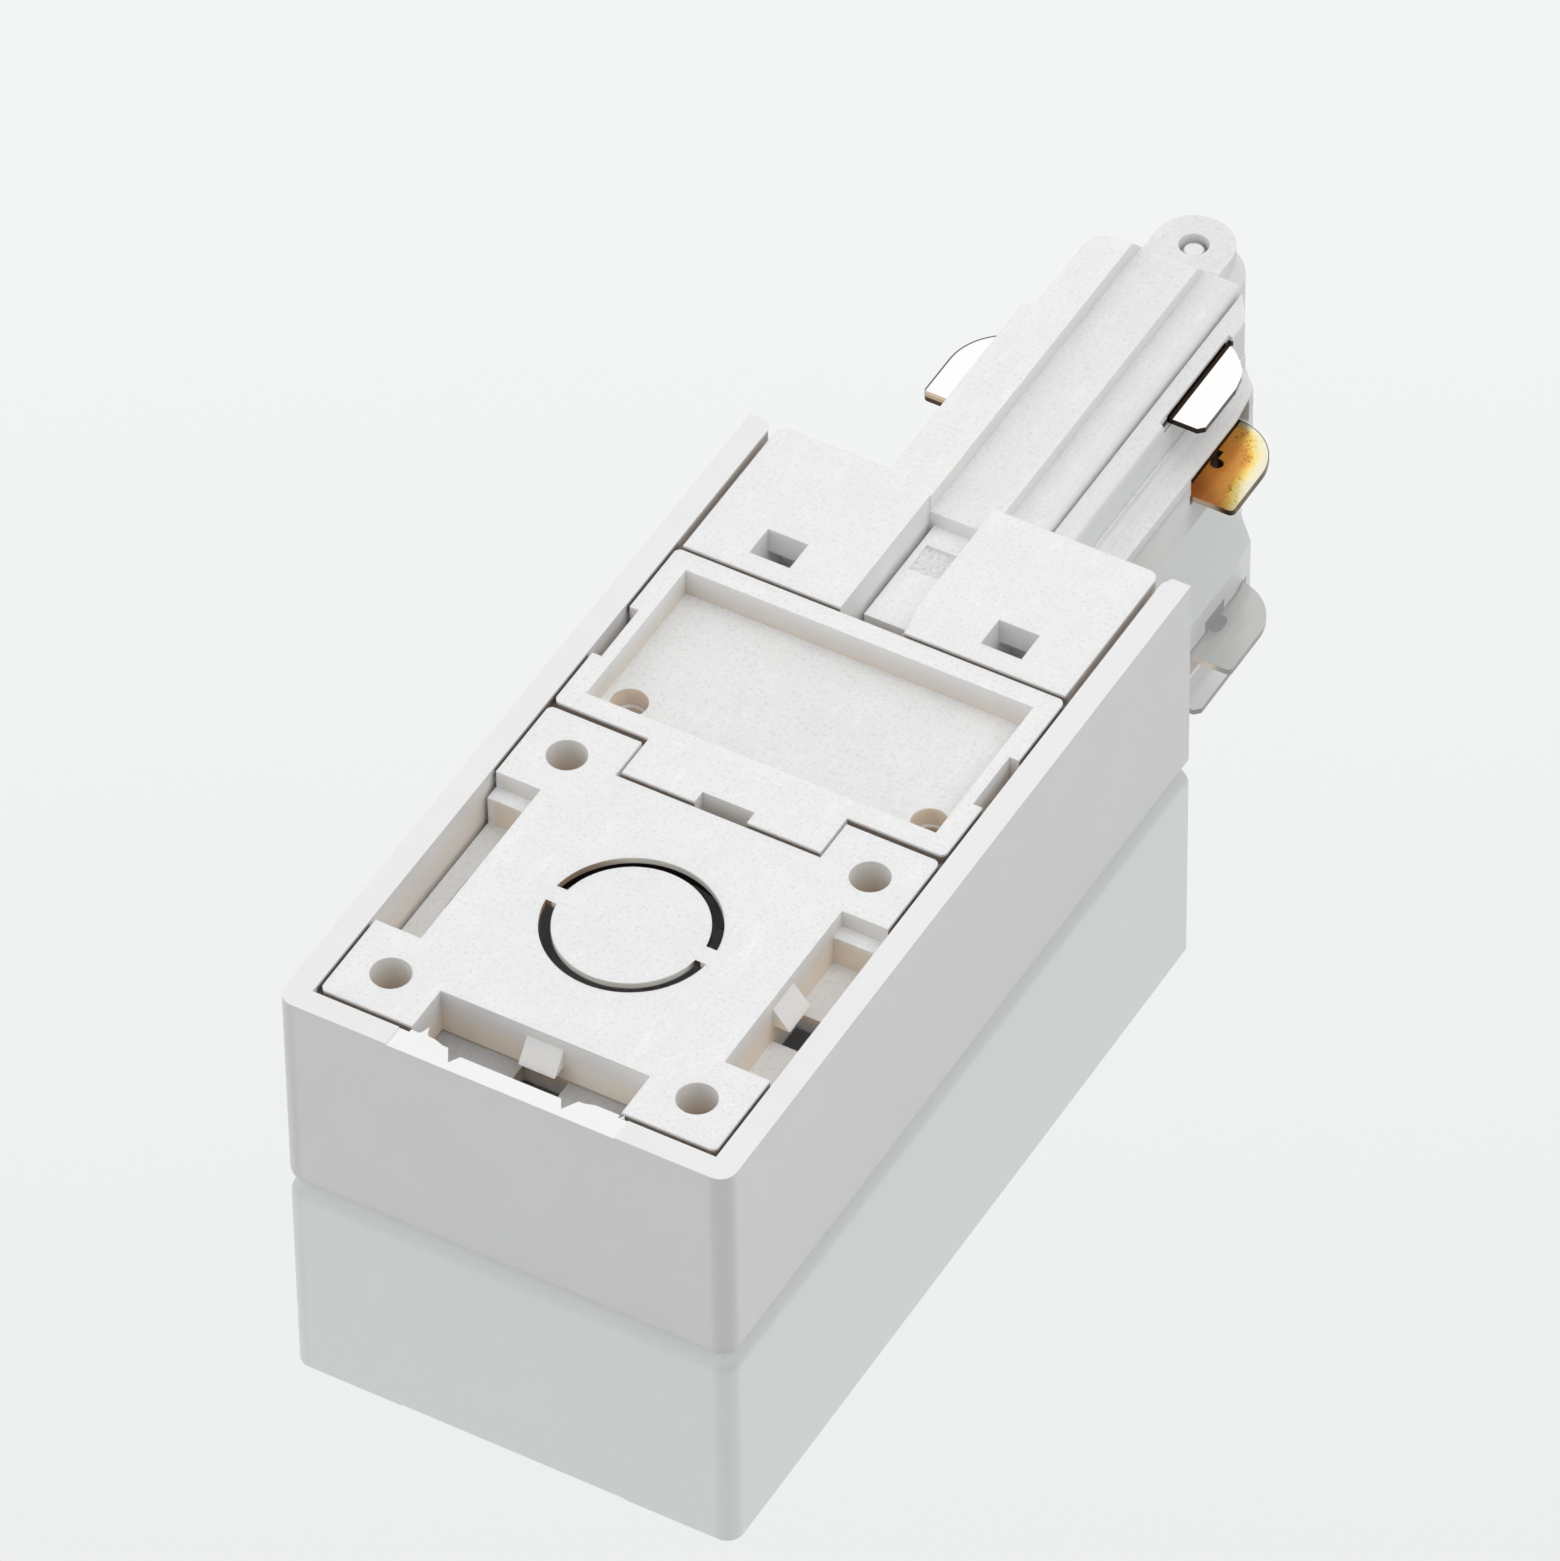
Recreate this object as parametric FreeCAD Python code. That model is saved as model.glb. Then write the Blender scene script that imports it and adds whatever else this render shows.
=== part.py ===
import FreeCAD, Part
import math
import os

# Millimetres. x across, y along the track (towards the tongue's tip), z up.
# The casing's plain face is on z = 0 and its open back looks up.

# Overall
CASE_W = 36.0
CASE_L = 66.1
CASE_H = 18.55
EYE_Y = 99.7
BOSS_R = 3.8
TOTAL_L = EYE_Y + BOSS_R
TOP = CASE_H
HALF = CASE_W / 2

# Lengths along y, from the casing's two ends
BLOCK_Y0, BLOCK_Y1 = CASE_L - 13.95, CASE_L
LID_Y0, LID_Y1 = CASE_L - 31.8, CASE_L - 14.35
PLATE_Y0, PLATE_Y1 = 2.3, CASE_L - 32.35

# Casing
SIDE_WALL = 1.95
NEAR_WALL = 1.85
FLOOR = 2.0
OUTER_R = 1.3
INNER = HALF - SIDE_WALL
KNOCK_HALF = 4.5
KNOCK_LOW = FLOOR + 2.5
GROOVE_LEFT = 0.65
GROOVE_HALF = 0.75
RIB_IN, RIB_OUT, RIB_Y = 5.3, 8.3, 2.1
RIM_STEP_X, RIM_STEP = 9.1, 0.1

# Base plate
PLATE_HALF = INNER - 0.3
PLATE_T = 2.35
SEAT_Z = TOP - 5.55
HOLE_X, HOLE_R = PLATE_HALF - 3.55, 1.5
HOLE_Y0, HOLE_Y1 = PLATE_Y0 + 3.65, PLATE_Y1 - 3.65
HUB_R = 2.9
DISC_Y = (HOLE_Y0 + HOLE_Y1) / 2
DISC_R, RING_R, THIN_R, DISC_T = 5.6, 6.47, 7.4, 0.55
WEB_HALF = 0.75
POCKET_DEEP = 4.0
POCKET_WALL = 1.4
NEAR_POCKET_HALF, NEAR_POCKET_Y = PLATE_HALF - 7.4, PLATE_Y0 + 3.9
SIDE_POCKET_X = PLATE_HALF - 3.65
SIDE_POCKET_Y0, SIDE_POCKET_Y1 = HOLE_Y0 + 3.9, HOLE_Y1 - 3.8
NOSE_HALF, NOSE_TOP, NOSE_LOW, NOSE_OUT = 1.45, 0.95, 2.6, 1.35
WINDOW_OUT = 2.1
TAB_SLOT_HALF, TAB_SLOT_Y = PLATE_HALF - 7.5, PLATE_Y1 - 3.7

# Terminal lid
LID_LOW = TOP - 3.85
TRAY_DEEP = 2.3
TRAY_X, TRAY_Y0, TRAY_Y1 = PLATE_HALF - 1.65, LID_Y0 + 1.75, LID_Y1 - 1.65
TAB_HALF, TAB_Y = TAB_SLOT_HALF - 0.25, TAB_SLOT_Y + 0.45
NAIL_HALF, NAIL_Y = 2.1, TAB_Y + 1.1
LID_HOLE_X, LID_HOLE_Y, LID_HOLE_R = PLATE_HALF - 3.6, LID_Y0 + 4.35, 1.4
NOTCH_X, NOTCH_Y0, NOTCH_Y1 = PLATE_HALF - 0.75, LID_Y0 + 5.45, LID_Y0 + 10.7

# Carrier, three mouldings stacked at two joint planes
BLOCK_HALF = INNER - 0.55
JOINT_LOW, JOINT_HIGH = TOP - 9.25, TOP - 7.05
STEP_A, STEP_B, STEP_C, STEP_D = 0.0, 1.45, 2.65, 3.4
EDGE_C_R, EDGE_D_R = 0.8, 0.45
LEFT_X, AB_X, BC_X, C_END_X, D_X, RIGHT_X = -6.45, -2.55, 2.15, 5.0, 5.25, 6.8
NARROW_X, NARROW_Y0, NARROW_Y1 = -5.6, EYE_Y - 14.35, EYE_Y - 13.45
TOP_END, LOW_END = EYE_Y - 4.7, EYE_Y - 2.15
RAIL_END = LOW_END - 0.25
SLOT_Z, UNDERCUT_Z, UNDERCUT = TOP - 4.7, TOP - 4.4, 0.15
CHANNEL_X0, CHANNEL_X1, CHANNEL_DEEP = -2.65, 2.05, 2.75
CHANNEL_Y0, CHANNEL_Y1 = BLOCK_Y0 + 2.65, BLOCK_Y1 - 1.1
SLIT_X1, SLIT_Z, FLARE = CHANNEL_X0 + 0.4, JOINT_HIGH + 0.8, 0.45
PATCH_X0, PATCH_Y0, PATCH_Y1, PATCH_DEEP = CHANNEL_X0 + 0.9, CHANNEL_Y1 - 4.6, CHANNEL_Y1 - 1.95, 0.25
WINDOW_X, WINDOW_Y, WINDOW_W, WINDOW_L = BLOCK_HALF - 6.1, BLOCK_Y0 + 3.05, 3.3, 2.7
LEDGE_Z, WINDOW_WALL, WINDOW_BEYOND = TOP - 4.95, 2.2, 1.8
FLANGE_X, FLANGE_LOW, FLANGE_TOP, COVE = 8.83, TOP - 13.5, TOP - 8.15, 0.45
COLUMN_LOW = TOP - 15.45
TRAY_WALL_Y = LID_Y0 + 0.05
TRAY_FLOOR = FLOOR + 2.0

# Eye at the tip
EYE_R, EYE_HOLE_R, EYE_TOP = 3.1, 1.15, TOP - 2.86
EYE_LOW, CONE_LOW = TOP - 4.25, TOP - 5.65
BORE_R, BORE_TOP = 1.7, TOP - 6.05
NUT_FLATS, NUT_Z0, NUT_T = 5.5, TOP - 12.95, 2.4
POINT_R, POINT_TOP = 0.85, EYE_TOP - 0.5

# Metal
BLADE_T, BAR_T = 0.5, 0.5
BAR_Z = TOP - 11.25
SLIDE_GAP = 0.05
BLADE_Z = BAR_Z + BAR_T + SLIDE_GAP
BAR_HALF = 1.3
BAR_X = 5.25
LOW_ROOT, HIGH_ROOT = 5.0, 5.95
LOW_ROOM_X, LOW_ROOM_Z = LOW_ROOT - 1.0, TOP - 8.5
LOW_ROOM_Y1 = EYE_Y - 7.1
HIGH_ROOM_X, HIGH_ROOM_Y0, HIGH_ROOM_Y1, HIGH_ROOM_Z = 6.45, EYE_Y - 17.05, EYE_Y - 6.6, TOP - 3.75
CLAMP_X = 7.1
CLAMP_Y0, CLAMP_Y1 = LID_Y0 + 9.2, LID_Y0 + 15.2
CLAMP_HALF, CLAMP_Z0, CLAMP_Z1 = 2.5, TOP - 12.35, TOP - 6.55
SCREW_HEAD_R, SCREW_HEAD_T = 2.3, 1.9
MOUTH_HALF = 1.7
THREAD_R, NUT_HOLE_R = 1.45, 1.5
HIGH_BAR_X0, HIGH_BAR_X1, HIGH_BAR_Z0, HIGH_BAR_Z1 = 5.45, 6.25, TOP - 6.25, TOP - 4.5
HIGH_BLADE_Z = HIGH_BAR_Z1 + SLIDE_GAP
RISER_Y0, RISER_Y1 = BLOCK_Y0 + 0.45, BLOCK_Y0 + 1.65
JOG_Y0, JOG_Y1 = BLOCK_Y0 + 4.85, BLOCK_Y0 + 7.45
LIVE_TIP, EARTH_TIP, NEUTRAL_TIP = 13.35, 12.24, 9.32
LIVE_T, LIVE_Y0, EARTH_Y0 = 0.75, EYE_Y - 16.7, EYE_Y - 16.45
LOW_BLADE_Y1, KEYHOLE_Y = EYE_Y - 7.8, EYE_Y - 12.6
HIGH_BLADE_Y0, HIGH_BLADE_Y1 = EYE_Y - 15.8, EYE_Y - 7.1

# Cord clamp
CORD_Y, CORD_POST_X, CORD_POST_R, CORD_POST_Z, CORD_BAR_T = 11.5, 7.0, 2.2, TOP - 8.05, 2.0
CORD_BAR_HALF = CORD_POST_X + 2.6

GAP = 0.1
FAR = 200.0


def vec(x, y, z):
    return FreeCAD.Vector(x, y, z)


def box(x0, x1, y0, y1, z0, z1):
    """Block between two corners."""
    return Part.makeBox(x1 - x0, y1 - y0, z1 - z0, vec(x0, y0, z0))


def post(x, y, r, z0, z1):
    """Upright cylinder."""
    return Part.makeCylinder(r, z1 - z0, vec(x, y, z0))


def plan_prism(points, z0, z1):
    """Outline drawn in plan, raised from z0 to z1."""
    ring = [vec(x, y, z0) for x, y in points]
    face = Part.Face(Part.makePolygon(ring + ring[:1]))
    return face.extrude(vec(0, 0, z1 - z0))


def side_prism(points, x0, x1):
    """Outline drawn in the y, z plane, carried from x0 to x1."""
    ring = [vec(x0, y, z) for y, z in points]
    face = Part.Face(Part.makePolygon(ring + ring[:1]))
    return face.extrude(vec(x1 - x0, 0, 0))


def end_prism(points, y0, y1):
    """Outline drawn in the x, z plane, carried from y0 to y1."""
    ring = [vec(x, y0, z) for x, z in points]
    face = Part.Face(Part.makePolygon(ring + ring[:1]))
    return face.extrude(vec(0, y1 - y0, 0))


def join(shapes):
    """One solid out of touching or overlapping ones."""
    whole = shapes[0]
    for shape in shapes[1:]:
        whole = whole.fuse(shape)
    return whole.removeSplitter()


def cut(shape, tools):
    """Shape less every tool."""
    for tool in tools:
        shape = shape.cut(tool)
    return shape


def mirror_x(shape):
    """Copy on the other side of the plane x = 0."""
    return shape.mirror(vec(0, 0, 0), vec(1, 0, 0))


def upright_edges(shape, corners, reach=0.05):
    """Vertical edges of a shape that stand at the given plan points."""
    found = []
    for edge in shape.Edges:
        low, high = edge.Vertexes[0].Point, edge.Vertexes[-1].Point
        if abs(low.x - high.x) > reach or abs(low.y - high.y) > reach:
            continue
        for x, y in corners:
            if abs(low.x - x) < reach and abs(low.y - y) < reach:
                found.append(edge)
    return found


def hexagon(x, y, flats):
    """Corner points of a hexagon across its flats."""
    r = flats / 2 / math.cos(math.pi / 6)
    turns = [math.pi / 3 * k for k in range(6)]
    return [(x + r * math.cos(t), y + r * math.sin(t)) for t in turns]


def casing_shell():
    """Tray with rounded near corners and lower edges, open at the back and the far end."""
    outer = box(-HALF, HALF, 0, CASE_L, 0, CASE_H)
    rounded = upright_edges(outer, [(-HALF, 0), (HALF, 0)])
    for edge in outer.Edges:
        spread = edge.BoundBox
        if spread.ZMax < GAP and spread.YMin < CASE_L - GAP:
            rounded.append(edge)
    outer = outer.makeFillet(OUTER_R, rounded)
    hollow = box(-INNER, INNER, NEAR_WALL, FAR, FLOOR, FAR)
    return outer.cut(hollow)


def v_groove():
    """Upright score line cut into the near wall from inside."""
    groove = [(-GROOVE_HALF, NEAR_WALL + GAP), (0, GROOVE_LEFT), (GROOVE_HALF, NEAR_WALL + GAP)]
    return plan_prism(groove, KNOCK_LOW, FAR)


def make_casing():
    case = casing_shell()
    rib = plan_prism([(RIB_IN, NEAR_WALL - GAP), (RIB_IN + 1.1, RIB_Y), (RIB_OUT, RIB_Y),
                      (RIB_OUT, NEAR_WALL - GAP)], KNOCK_LOW, CASE_H)
    side_seat = box(PLATE_HALF - 1.05, INNER + GAP, SIDE_POCKET_Y0 - 0.85, SIDE_POCKET_Y1 + 0.9,
                    FLOOR - GAP, SEAT_Z)
    near_seat = box(NEAR_POCKET_HALF + 0.25, NEAR_POCKET_HALF + 1.35, NEAR_WALL - GAP,
                    PLATE_Y0 + 1.3, FLOOR - GAP, SEAT_Z)
    cord_post = post(CORD_POST_X, CORD_Y, CORD_POST_R, FLOOR - GAP, CORD_POST_Z)
    right = [rib, side_seat, near_seat, cord_post]
    cord_ridge = box(-4.0, 4.0, CORD_Y - 0.6, CORD_Y + 0.6, FLOOR - GAP, 3.4)
    case = join([case, cord_ridge] + right + [mirror_x(s) for s in right])
    thin = box(-KNOCK_HALF, KNOCK_HALF, 1.5, NEAR_WALL + GAP, KNOCK_LOW, FAR)
    level = [(NEAR_WALL + GAP, KNOCK_LOW - GROOVE_HALF), (GROOVE_LEFT, KNOCK_LOW),
             (NEAR_WALL + GAP, KNOCK_LOW + GROOVE_HALF)]
    rim = box(-RIM_STEP_X, RIM_STEP_X, -GAP, RIB_Y + GAP, CASE_H - RIM_STEP, FAR)
    tools = [thin, side_prism(level, -KNOCK_HALF, KNOCK_HALF), rim]
    for side in (-1, 1):
        groove = v_groove()
        groove.translate(vec(side * KNOCK_HALF, 0, 0))
        tools.append(groove)
        tools.append(post(side * CORD_POST_X, CORD_Y, 1.5, CORD_POST_Z - 6.5, FAR))
        end = [(side * (INNER - 0.2), CASE_L + 0.1), (side * (INNER + 0.5), CASE_L + 0.1),
               (side * (INNER - 0.2), CASE_L - 1.2)]
        tools.append(plan_prism(end, FLOOR, FAR))
    return cut(case, tools)


def pocket_block(x0, x1, y0, y1):
    """Solid the size of an edge pocket and its walls, before the pocket is cut."""
    return box(x0, x1, y0, y1, SEAT_Z, TOP)


def make_base_plate():
    slab = box(-PLATE_HALF, PLATE_HALF, PLATE_Y0, PLATE_Y1, TOP - PLATE_T, TOP)
    corners = [(x, y) for x in (-PLATE_HALF, PLATE_HALF) for y in (PLATE_Y0, PLATE_Y1)]
    slab = slab.makeFillet(0.5, upright_edges(slab, corners))
    shelf = TOP - POCKET_DEEP
    wall = POCKET_WALL
    near_half, near_y = NEAR_POCKET_HALF, NEAR_POCKET_Y
    blocks = [pocket_block(-near_half - wall, near_half + wall, PLATE_Y0, near_y + wall)]
    tools = [box(-near_half, near_half, 0, near_y, shelf, FAR),
             box(-1.8, 1.8, PLATE_Y0 + 1.1, near_y - 0.05, 0, shelf + GAP)]
    side_block = pocket_block(SIDE_POCKET_X - wall, PLATE_HALF, SIDE_POCKET_Y0 - wall,
                              SIDE_POCKET_Y1 + wall)
    side_tool = box(SIDE_POCKET_X, FAR, SIDE_POCKET_Y0, SIDE_POCKET_Y1, shelf, FAR)
    mid_y = DISC_Y
    side_window = box(SIDE_POCKET_X + 0.05, SIDE_POCKET_X + WINDOW_OUT, mid_y - 1.6, mid_y + 1.6,
                      0, shelf + GAP)
    blocks += [side_block, mirror_x(side_block)]
    tools += [side_tool, mirror_x(side_tool), side_window, mirror_x(side_window)]
    hubs = [post(x, y, HUB_R, SEAT_Z, TOP - GAP)
            for x in (-HOLE_X, HOLE_X) for y in (HOLE_Y0, HOLE_Y1)]
    plate = cut(join([slab] + blocks + hubs), tools)

    ledge = box(SIDE_POCKET_X, PLATE_HALF, SIDE_POCKET_Y1 - 1.25, SIDE_POCKET_Y1, shelf, TOP - 1.5)
    near_nose = side_prism([(near_y, TOP - NOSE_TOP), (near_y, TOP - NOSE_LOW),
                            (near_y - NOSE_OUT, TOP - NOSE_LOW)], -NOSE_HALF, NOSE_HALF)
    side_nose = end_prism([(SIDE_POCKET_X, TOP - NOSE_TOP), (SIDE_POCKET_X, TOP - NOSE_LOW),
                           (SIDE_POCKET_X + NOSE_OUT, TOP - NOSE_LOW)],
                          mid_y - NOSE_HALF, mid_y + NOSE_HALF)
    added = [ledge, mirror_x(ledge), near_nose, side_nose, mirror_x(side_nose)]
    plate = join([plate] + added)

    holes = [post(x, y, HOLE_R, 0, FAR) for x in (-HOLE_X, HOLE_X) for y in (HOLE_Y0, HOLE_Y1)]
    tab_slot = box(-TAB_SLOT_HALF, TAB_SLOT_HALF, TAB_SLOT_Y, FAR, 0, FAR)
    thin = post(0, DISC_Y, THIN_R, 0, TOP - DISC_T)
    ring = post(0, DISC_Y, RING_R, 0, FAR).cut(post(0, DISC_Y, DISC_R, 0, FAR))
    ring = ring.cut(box(-FAR, FAR, DISC_Y - WEB_HALF, DISC_Y + WEB_HALF, 0, FAR))
    return cut(plate, holes + [tab_slot, thin, ring])


def make_terminal_lid():
    body = box(-PLATE_HALF, PLATE_HALF, LID_Y0, LID_Y1, LID_LOW, TOP)
    corners = [(x, y) for x in (-PLATE_HALF, PLATE_HALF) for y in (LID_Y0, LID_Y1)]
    body = body.makeFillet(0.5, upright_edges(body, corners))
    tab = box(-TAB_HALF, TAB_HALF, TAB_Y, LID_Y0 + 1.0, TOP - PLATE_T, TOP)
    lid = join([body, tab])
    tools = [box(-TRAY_X, TRAY_X, TRAY_Y0, TRAY_Y1, TOP - TRAY_DEEP, FAR),
             box(-NAIL_HALF, NAIL_HALF, 0, NAIL_Y, 0, FAR)]
    for side in (-1, 1):
        tools.append(post(side * LID_HOLE_X, LID_HOLE_Y, LID_HOLE_R, 0, FAR))
        notch = box(NOTCH_X, FAR, NOTCH_Y0, NOTCH_Y1, 0, FAR)
        tools.append(notch if side > 0 else mirror_x(notch))
    return cut(lid, tools)


def tip_space(grow):
    """Room the tip's column and eye take, a little larger than they are."""
    column = post(0, EYE_Y, BOSS_R + grow, 0, EYE_LOW)
    eye = post(0, EYE_Y, EYE_R + grow, 0, EYE_TOP)
    neck = box(-EYE_R - grow, EYE_R + grow, LOW_END + 0.05 - grow, EYE_Y, 0, EYE_TOP)
    return [column, eye, neck]


def level(x0, x1, y1, step):
    """One strip of the tongue's stepped top."""
    return box(x0, x1, BLOCK_Y1 - 1.0, y1, JOINT_HIGH, TOP - step)


def round_right(strip, r):
    """Strip with its upper right edge rounded."""
    x, z = strip.BoundBox.XMax - GAP, strip.BoundBox.ZMax - GAP
    return strip.makeFillet(r, [e for e in strip.Edges if e.BoundBox.XMin > x and e.BoundBox.ZMin > z])


def tongue_steps():
    """Three flat strips, each a step lower than the one on its left, then a slot and a rail."""
    left = [(LEFT_X, BLOCK_Y1 - 1.0), (AB_X, BLOCK_Y1 - 1.0), (AB_X, LOW_END), (NARROW_X + 1.7, LOW_END),
            (NARROW_X + 1.3, TOP_END - 0.1), (NARROW_X + 0.35, TOP_END - 0.8), (NARROW_X, TOP_END - 1.7),
            (NARROW_X, NARROW_Y1), (NARROW_X - 0.5, NARROW_Y0 + 0.4), (LEFT_X, NARROW_Y0)]
    high = plan_prism(left, JOINT_HIGH, TOP - STEP_A)
    middle = level(AB_X, BC_X, LOW_END, STEP_B)
    low = round_right(level(BC_X, C_END_X, LOW_END, STEP_C), EDGE_C_R)
    web = box(C_END_X, D_X, BLOCK_Y1 - 1.0, RAIL_END, JOINT_HIGH, SLOT_Z)
    rail = round_right(level(D_X, RIGHT_X, RAIL_END, STEP_D), EDGE_D_R)
    taper = [(RIGHT_X, TOP_END), (FAR, TOP_END), (FAR, FAR), (D_X, FAR), (D_X, RAIL_END),
             (D_X + 0.1, RAIL_END)]
    rail = rail.cut(plan_prism(taper, 0, FAR))
    rail = rail.cut(box(RIGHT_X - UNDERCUT, FAR, 0, FAR, 0, UNDERCUT_Z))
    lead_y = TOP_END + 0.9 * 3.6
    lead = side_prism([(TOP_END - 0.09, TOP + GAP), (lead_y, TOP + GAP), (lead_y, TOP - 3.6)],
                      -FAR, FAR)
    return join([high, middle, low, web, rail]).cut(lead)


def high_bar_space(z0):
    """Groove for the upper bar, its riser and the blade that slides on it."""
    x0, x1 = HIGH_BAR_X0 - 0.05, HIGH_BAR_X1 + 0.05
    return [box(x0, x1, RISER_Y0 - GAP, HIGH_BLADE_Y1 + GAP, z0, HIGH_BAR_Z1),
            box(x0, FAR, HIGH_BLADE_Y0 - GAP, HIGH_BLADE_Y1 + GAP, HIGH_BAR_Z1, HIGH_ROOM_Z),
            box(HIGH_ROOM_X, FAR, HIGH_ROOM_Y0, HIGH_ROOM_Y1, HIGH_BAR_Z1, FAR)]


def make_carrier_top():
    block = box(-BLOCK_HALF, BLOCK_HALF, BLOCK_Y0, BLOCK_Y1, JOINT_HIGH, TOP)
    block = block.makeFillet(0.8, upright_edges(block, [(-BLOCK_HALF, BLOCK_Y1), (BLOCK_HALF, BLOCK_Y1)]))
    block = block.cut(box(CHANNEL_X0, CHANNEL_X1, 0, FAR, TOP - CHANNEL_DEEP, FAR))
    strip_end = box(AB_X - GAP, BC_X, CHANNEL_Y1, BLOCK_Y1, TOP - CHANNEL_DEEP - 1.0, TOP - STEP_B)
    whole = join([block, tongue_steps(), strip_end])
    channel = box(CHANNEL_X0, CHANNEL_X1, 0, CHANNEL_Y1, TOP - CHANNEL_DEEP, FAR)
    drop = box(CHANNEL_X0, CHANNEL_X1, 0, CHANNEL_Y0, 0, FAR)
    slit = box(CHANNEL_X0, SLIT_X1, 0, CHANNEL_Y1, SLIT_Z, FAR)
    patch = box(PATCH_X0, CHANNEL_X1, PATCH_Y0, PATCH_Y1, TOP - CHANNEL_DEEP - PATCH_DEEP, FAR)
    flare = plan_prism([(CHANNEL_X1, CHANNEL_Y0), (CHANNEL_X1, 0), (CHANNEL_X1 + FLARE, 0),
                        (CHANNEL_X1 + FLARE, BLOCK_Y0 + 0.6)], TOP - CHANNEL_DEEP, FAR)
    tools = [channel, drop, slit, patch, flare] + tip_space(0.05) + high_bar_space(0)
    for side in (-1, 1):
        x0 = side * WINDOW_X - WINDOW_W / 2
        y0, y1 = WINDOW_Y - WINDOW_L / 2, WINDOW_Y + WINDOW_L / 2
        tools.append(box(x0, x0 + WINDOW_W, y0, y1, LEDGE_Z, FAR))
        tools.append(box(x0, x0 + WINDOW_W, y1 - GAP, y1 + WINDOW_BEYOND, LEDGE_Z, TOP - WINDOW_WALL))
        tools.append(box(x0, x0 + WINDOW_W, y0, y1 - 1.2, 0, LEDGE_Z + GAP))
    return cut(whole, tools)


def flange_plan(half):
    """Plan outline of the wide lower half of the tongue."""
    right = [(half, BLOCK_Y1 - 1.0), (half, LOW_END - 7.45), (half - 0.43, LOW_END - 4.15),
             (half - 1.83, LOW_END - 2.65), (half - 3.73, LOW_END - 0.55), (half - 4.83, LOW_END)]
    return right + [(-x, y) for x, y in reversed(right)]


def blade_rooms(x, z0, z1):
    """Openings in both sides of the tongue for the earth blade on the right and the live one on the left."""
    right = box(x, FAR, EARTH_Y0 - GAP, LOW_ROOM_Y1, z0, z1)
    left = box(x, FAR, LIVE_Y0 - GAP, LOW_ROOM_Y1, z0, z1)
    return [right, mirror_x(left)]


def make_carrier_mid():
    lip = plan_prism(flange_plan(FLANGE_X), JOINT_LOW, FLANGE_TOP)
    core = plan_prism(flange_plan(FLANGE_X), JOINT_LOW, JOINT_HIGH)
    core = core.common(box(LEFT_X - 0.15, RIGHT_X, 0, FAR, 0, FAR))
    block = box(-BLOCK_HALF, BLOCK_HALF, BLOCK_Y0, BLOCK_Y1, JOINT_LOW, JOINT_HIGH)
    block = block.makeFillet(0.8, upright_edges(block, [(-BLOCK_HALF, BLOCK_Y1), (BLOCK_HALF, BLOCK_Y1)]))
    rib = box(HIGH_BAR_X0, HIGH_BAR_X1, BLOCK_Y1, HIGH_BLADE_Y1, JOINT_HIGH - GAP, HIGH_BAR_Z0)
    cove = end_prism([(RIGHT_X - GAP, FLANGE_TOP - GAP), (RIGHT_X + COVE, FLANGE_TOP - GAP),
                      (RIGHT_X + COVE, FLANGE_TOP), (RIGHT_X, FLANGE_TOP + COVE),
                      (RIGHT_X - GAP, FLANGE_TOP + COVE)], BLOCK_Y1 - 1.0, LOW_END - 4.15)
    whole = join([block, lip, core, rib, cove])
    riser = box(HIGH_BAR_X0 - GAP, HIGH_BAR_X1 + GAP, RISER_Y0 - GAP, RISER_Y1 + GAP, 0, FAR)
    tools = [riser] + blade_rooms(RIGHT_X + GAP, 0, LOW_ROOM_Z) + tip_space(0.05)
    for side in (-1, 1):
        x0 = side * WINDOW_X - WINDOW_W / 2
        tools.append(box(x0, x0 + WINDOW_W, WINDOW_Y - WINDOW_L / 2, WINDOW_Y + 0.2, 0, FAR))
    return cut(whole, tools)


def tip_column():
    """Column and eye that hold the locking screw."""
    column = post(0, EYE_Y, BOSS_R, COLUMN_LOW, CONE_LOW)
    cone = Part.makeCone(BOSS_R, EYE_R, EYE_LOW - CONE_LOW, vec(0, EYE_Y, CONE_LOW))
    eye = post(0, EYE_Y, EYE_R, EYE_LOW, EYE_TOP)
    neck = box(-EYE_R, EYE_R, LOW_END + 0.05, EYE_Y, EYE_LOW, EYE_TOP)
    stem = box(-EYE_R, EYE_R, LOW_END - 1.5, EYE_Y, FLANGE_LOW, JOINT_LOW)
    return [column, cone, eye, neck, stem]


def terminal_tray():
    """Open box under the lid with a saddle for each terminal and a post under each lid hole."""
    y0, y1 = TRAY_WALL_Y, BLOCK_Y0
    half = BLOCK_HALF
    parts = [box(-half, half, y0, y1, FLOOR, TRAY_FLOOR),
             box(-half, half, y0, y0 + 1.3, FLOOR, LID_LOW)]
    for side in (-1, 1):
        wall = box(half - 1.5, half, y0, y1, FLOOR, LID_LOW)
        parts.append(wall if side > 0 else mirror_x(wall))
        parts.append(post(side * LID_HOLE_X, LID_HOLE_Y, 2.6, FLOOR, LID_LOW))
        for x in (side * CLAMP_X - 3.55, side * CLAMP_X + 3.55):
            parts.append(box(x - 0.6, x + 0.6, CLAMP_Y0 - 1.5, y1, FLOOR, LID_LOW - 1.1))
    for x in (-CLAMP_X, 0, CLAMP_X):
        parts.append(box(x - 3.0, x + 3.0, CLAMP_Y0 - 0.8, y1, FLOOR, CLAMP_Z0))
    return parts


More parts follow.
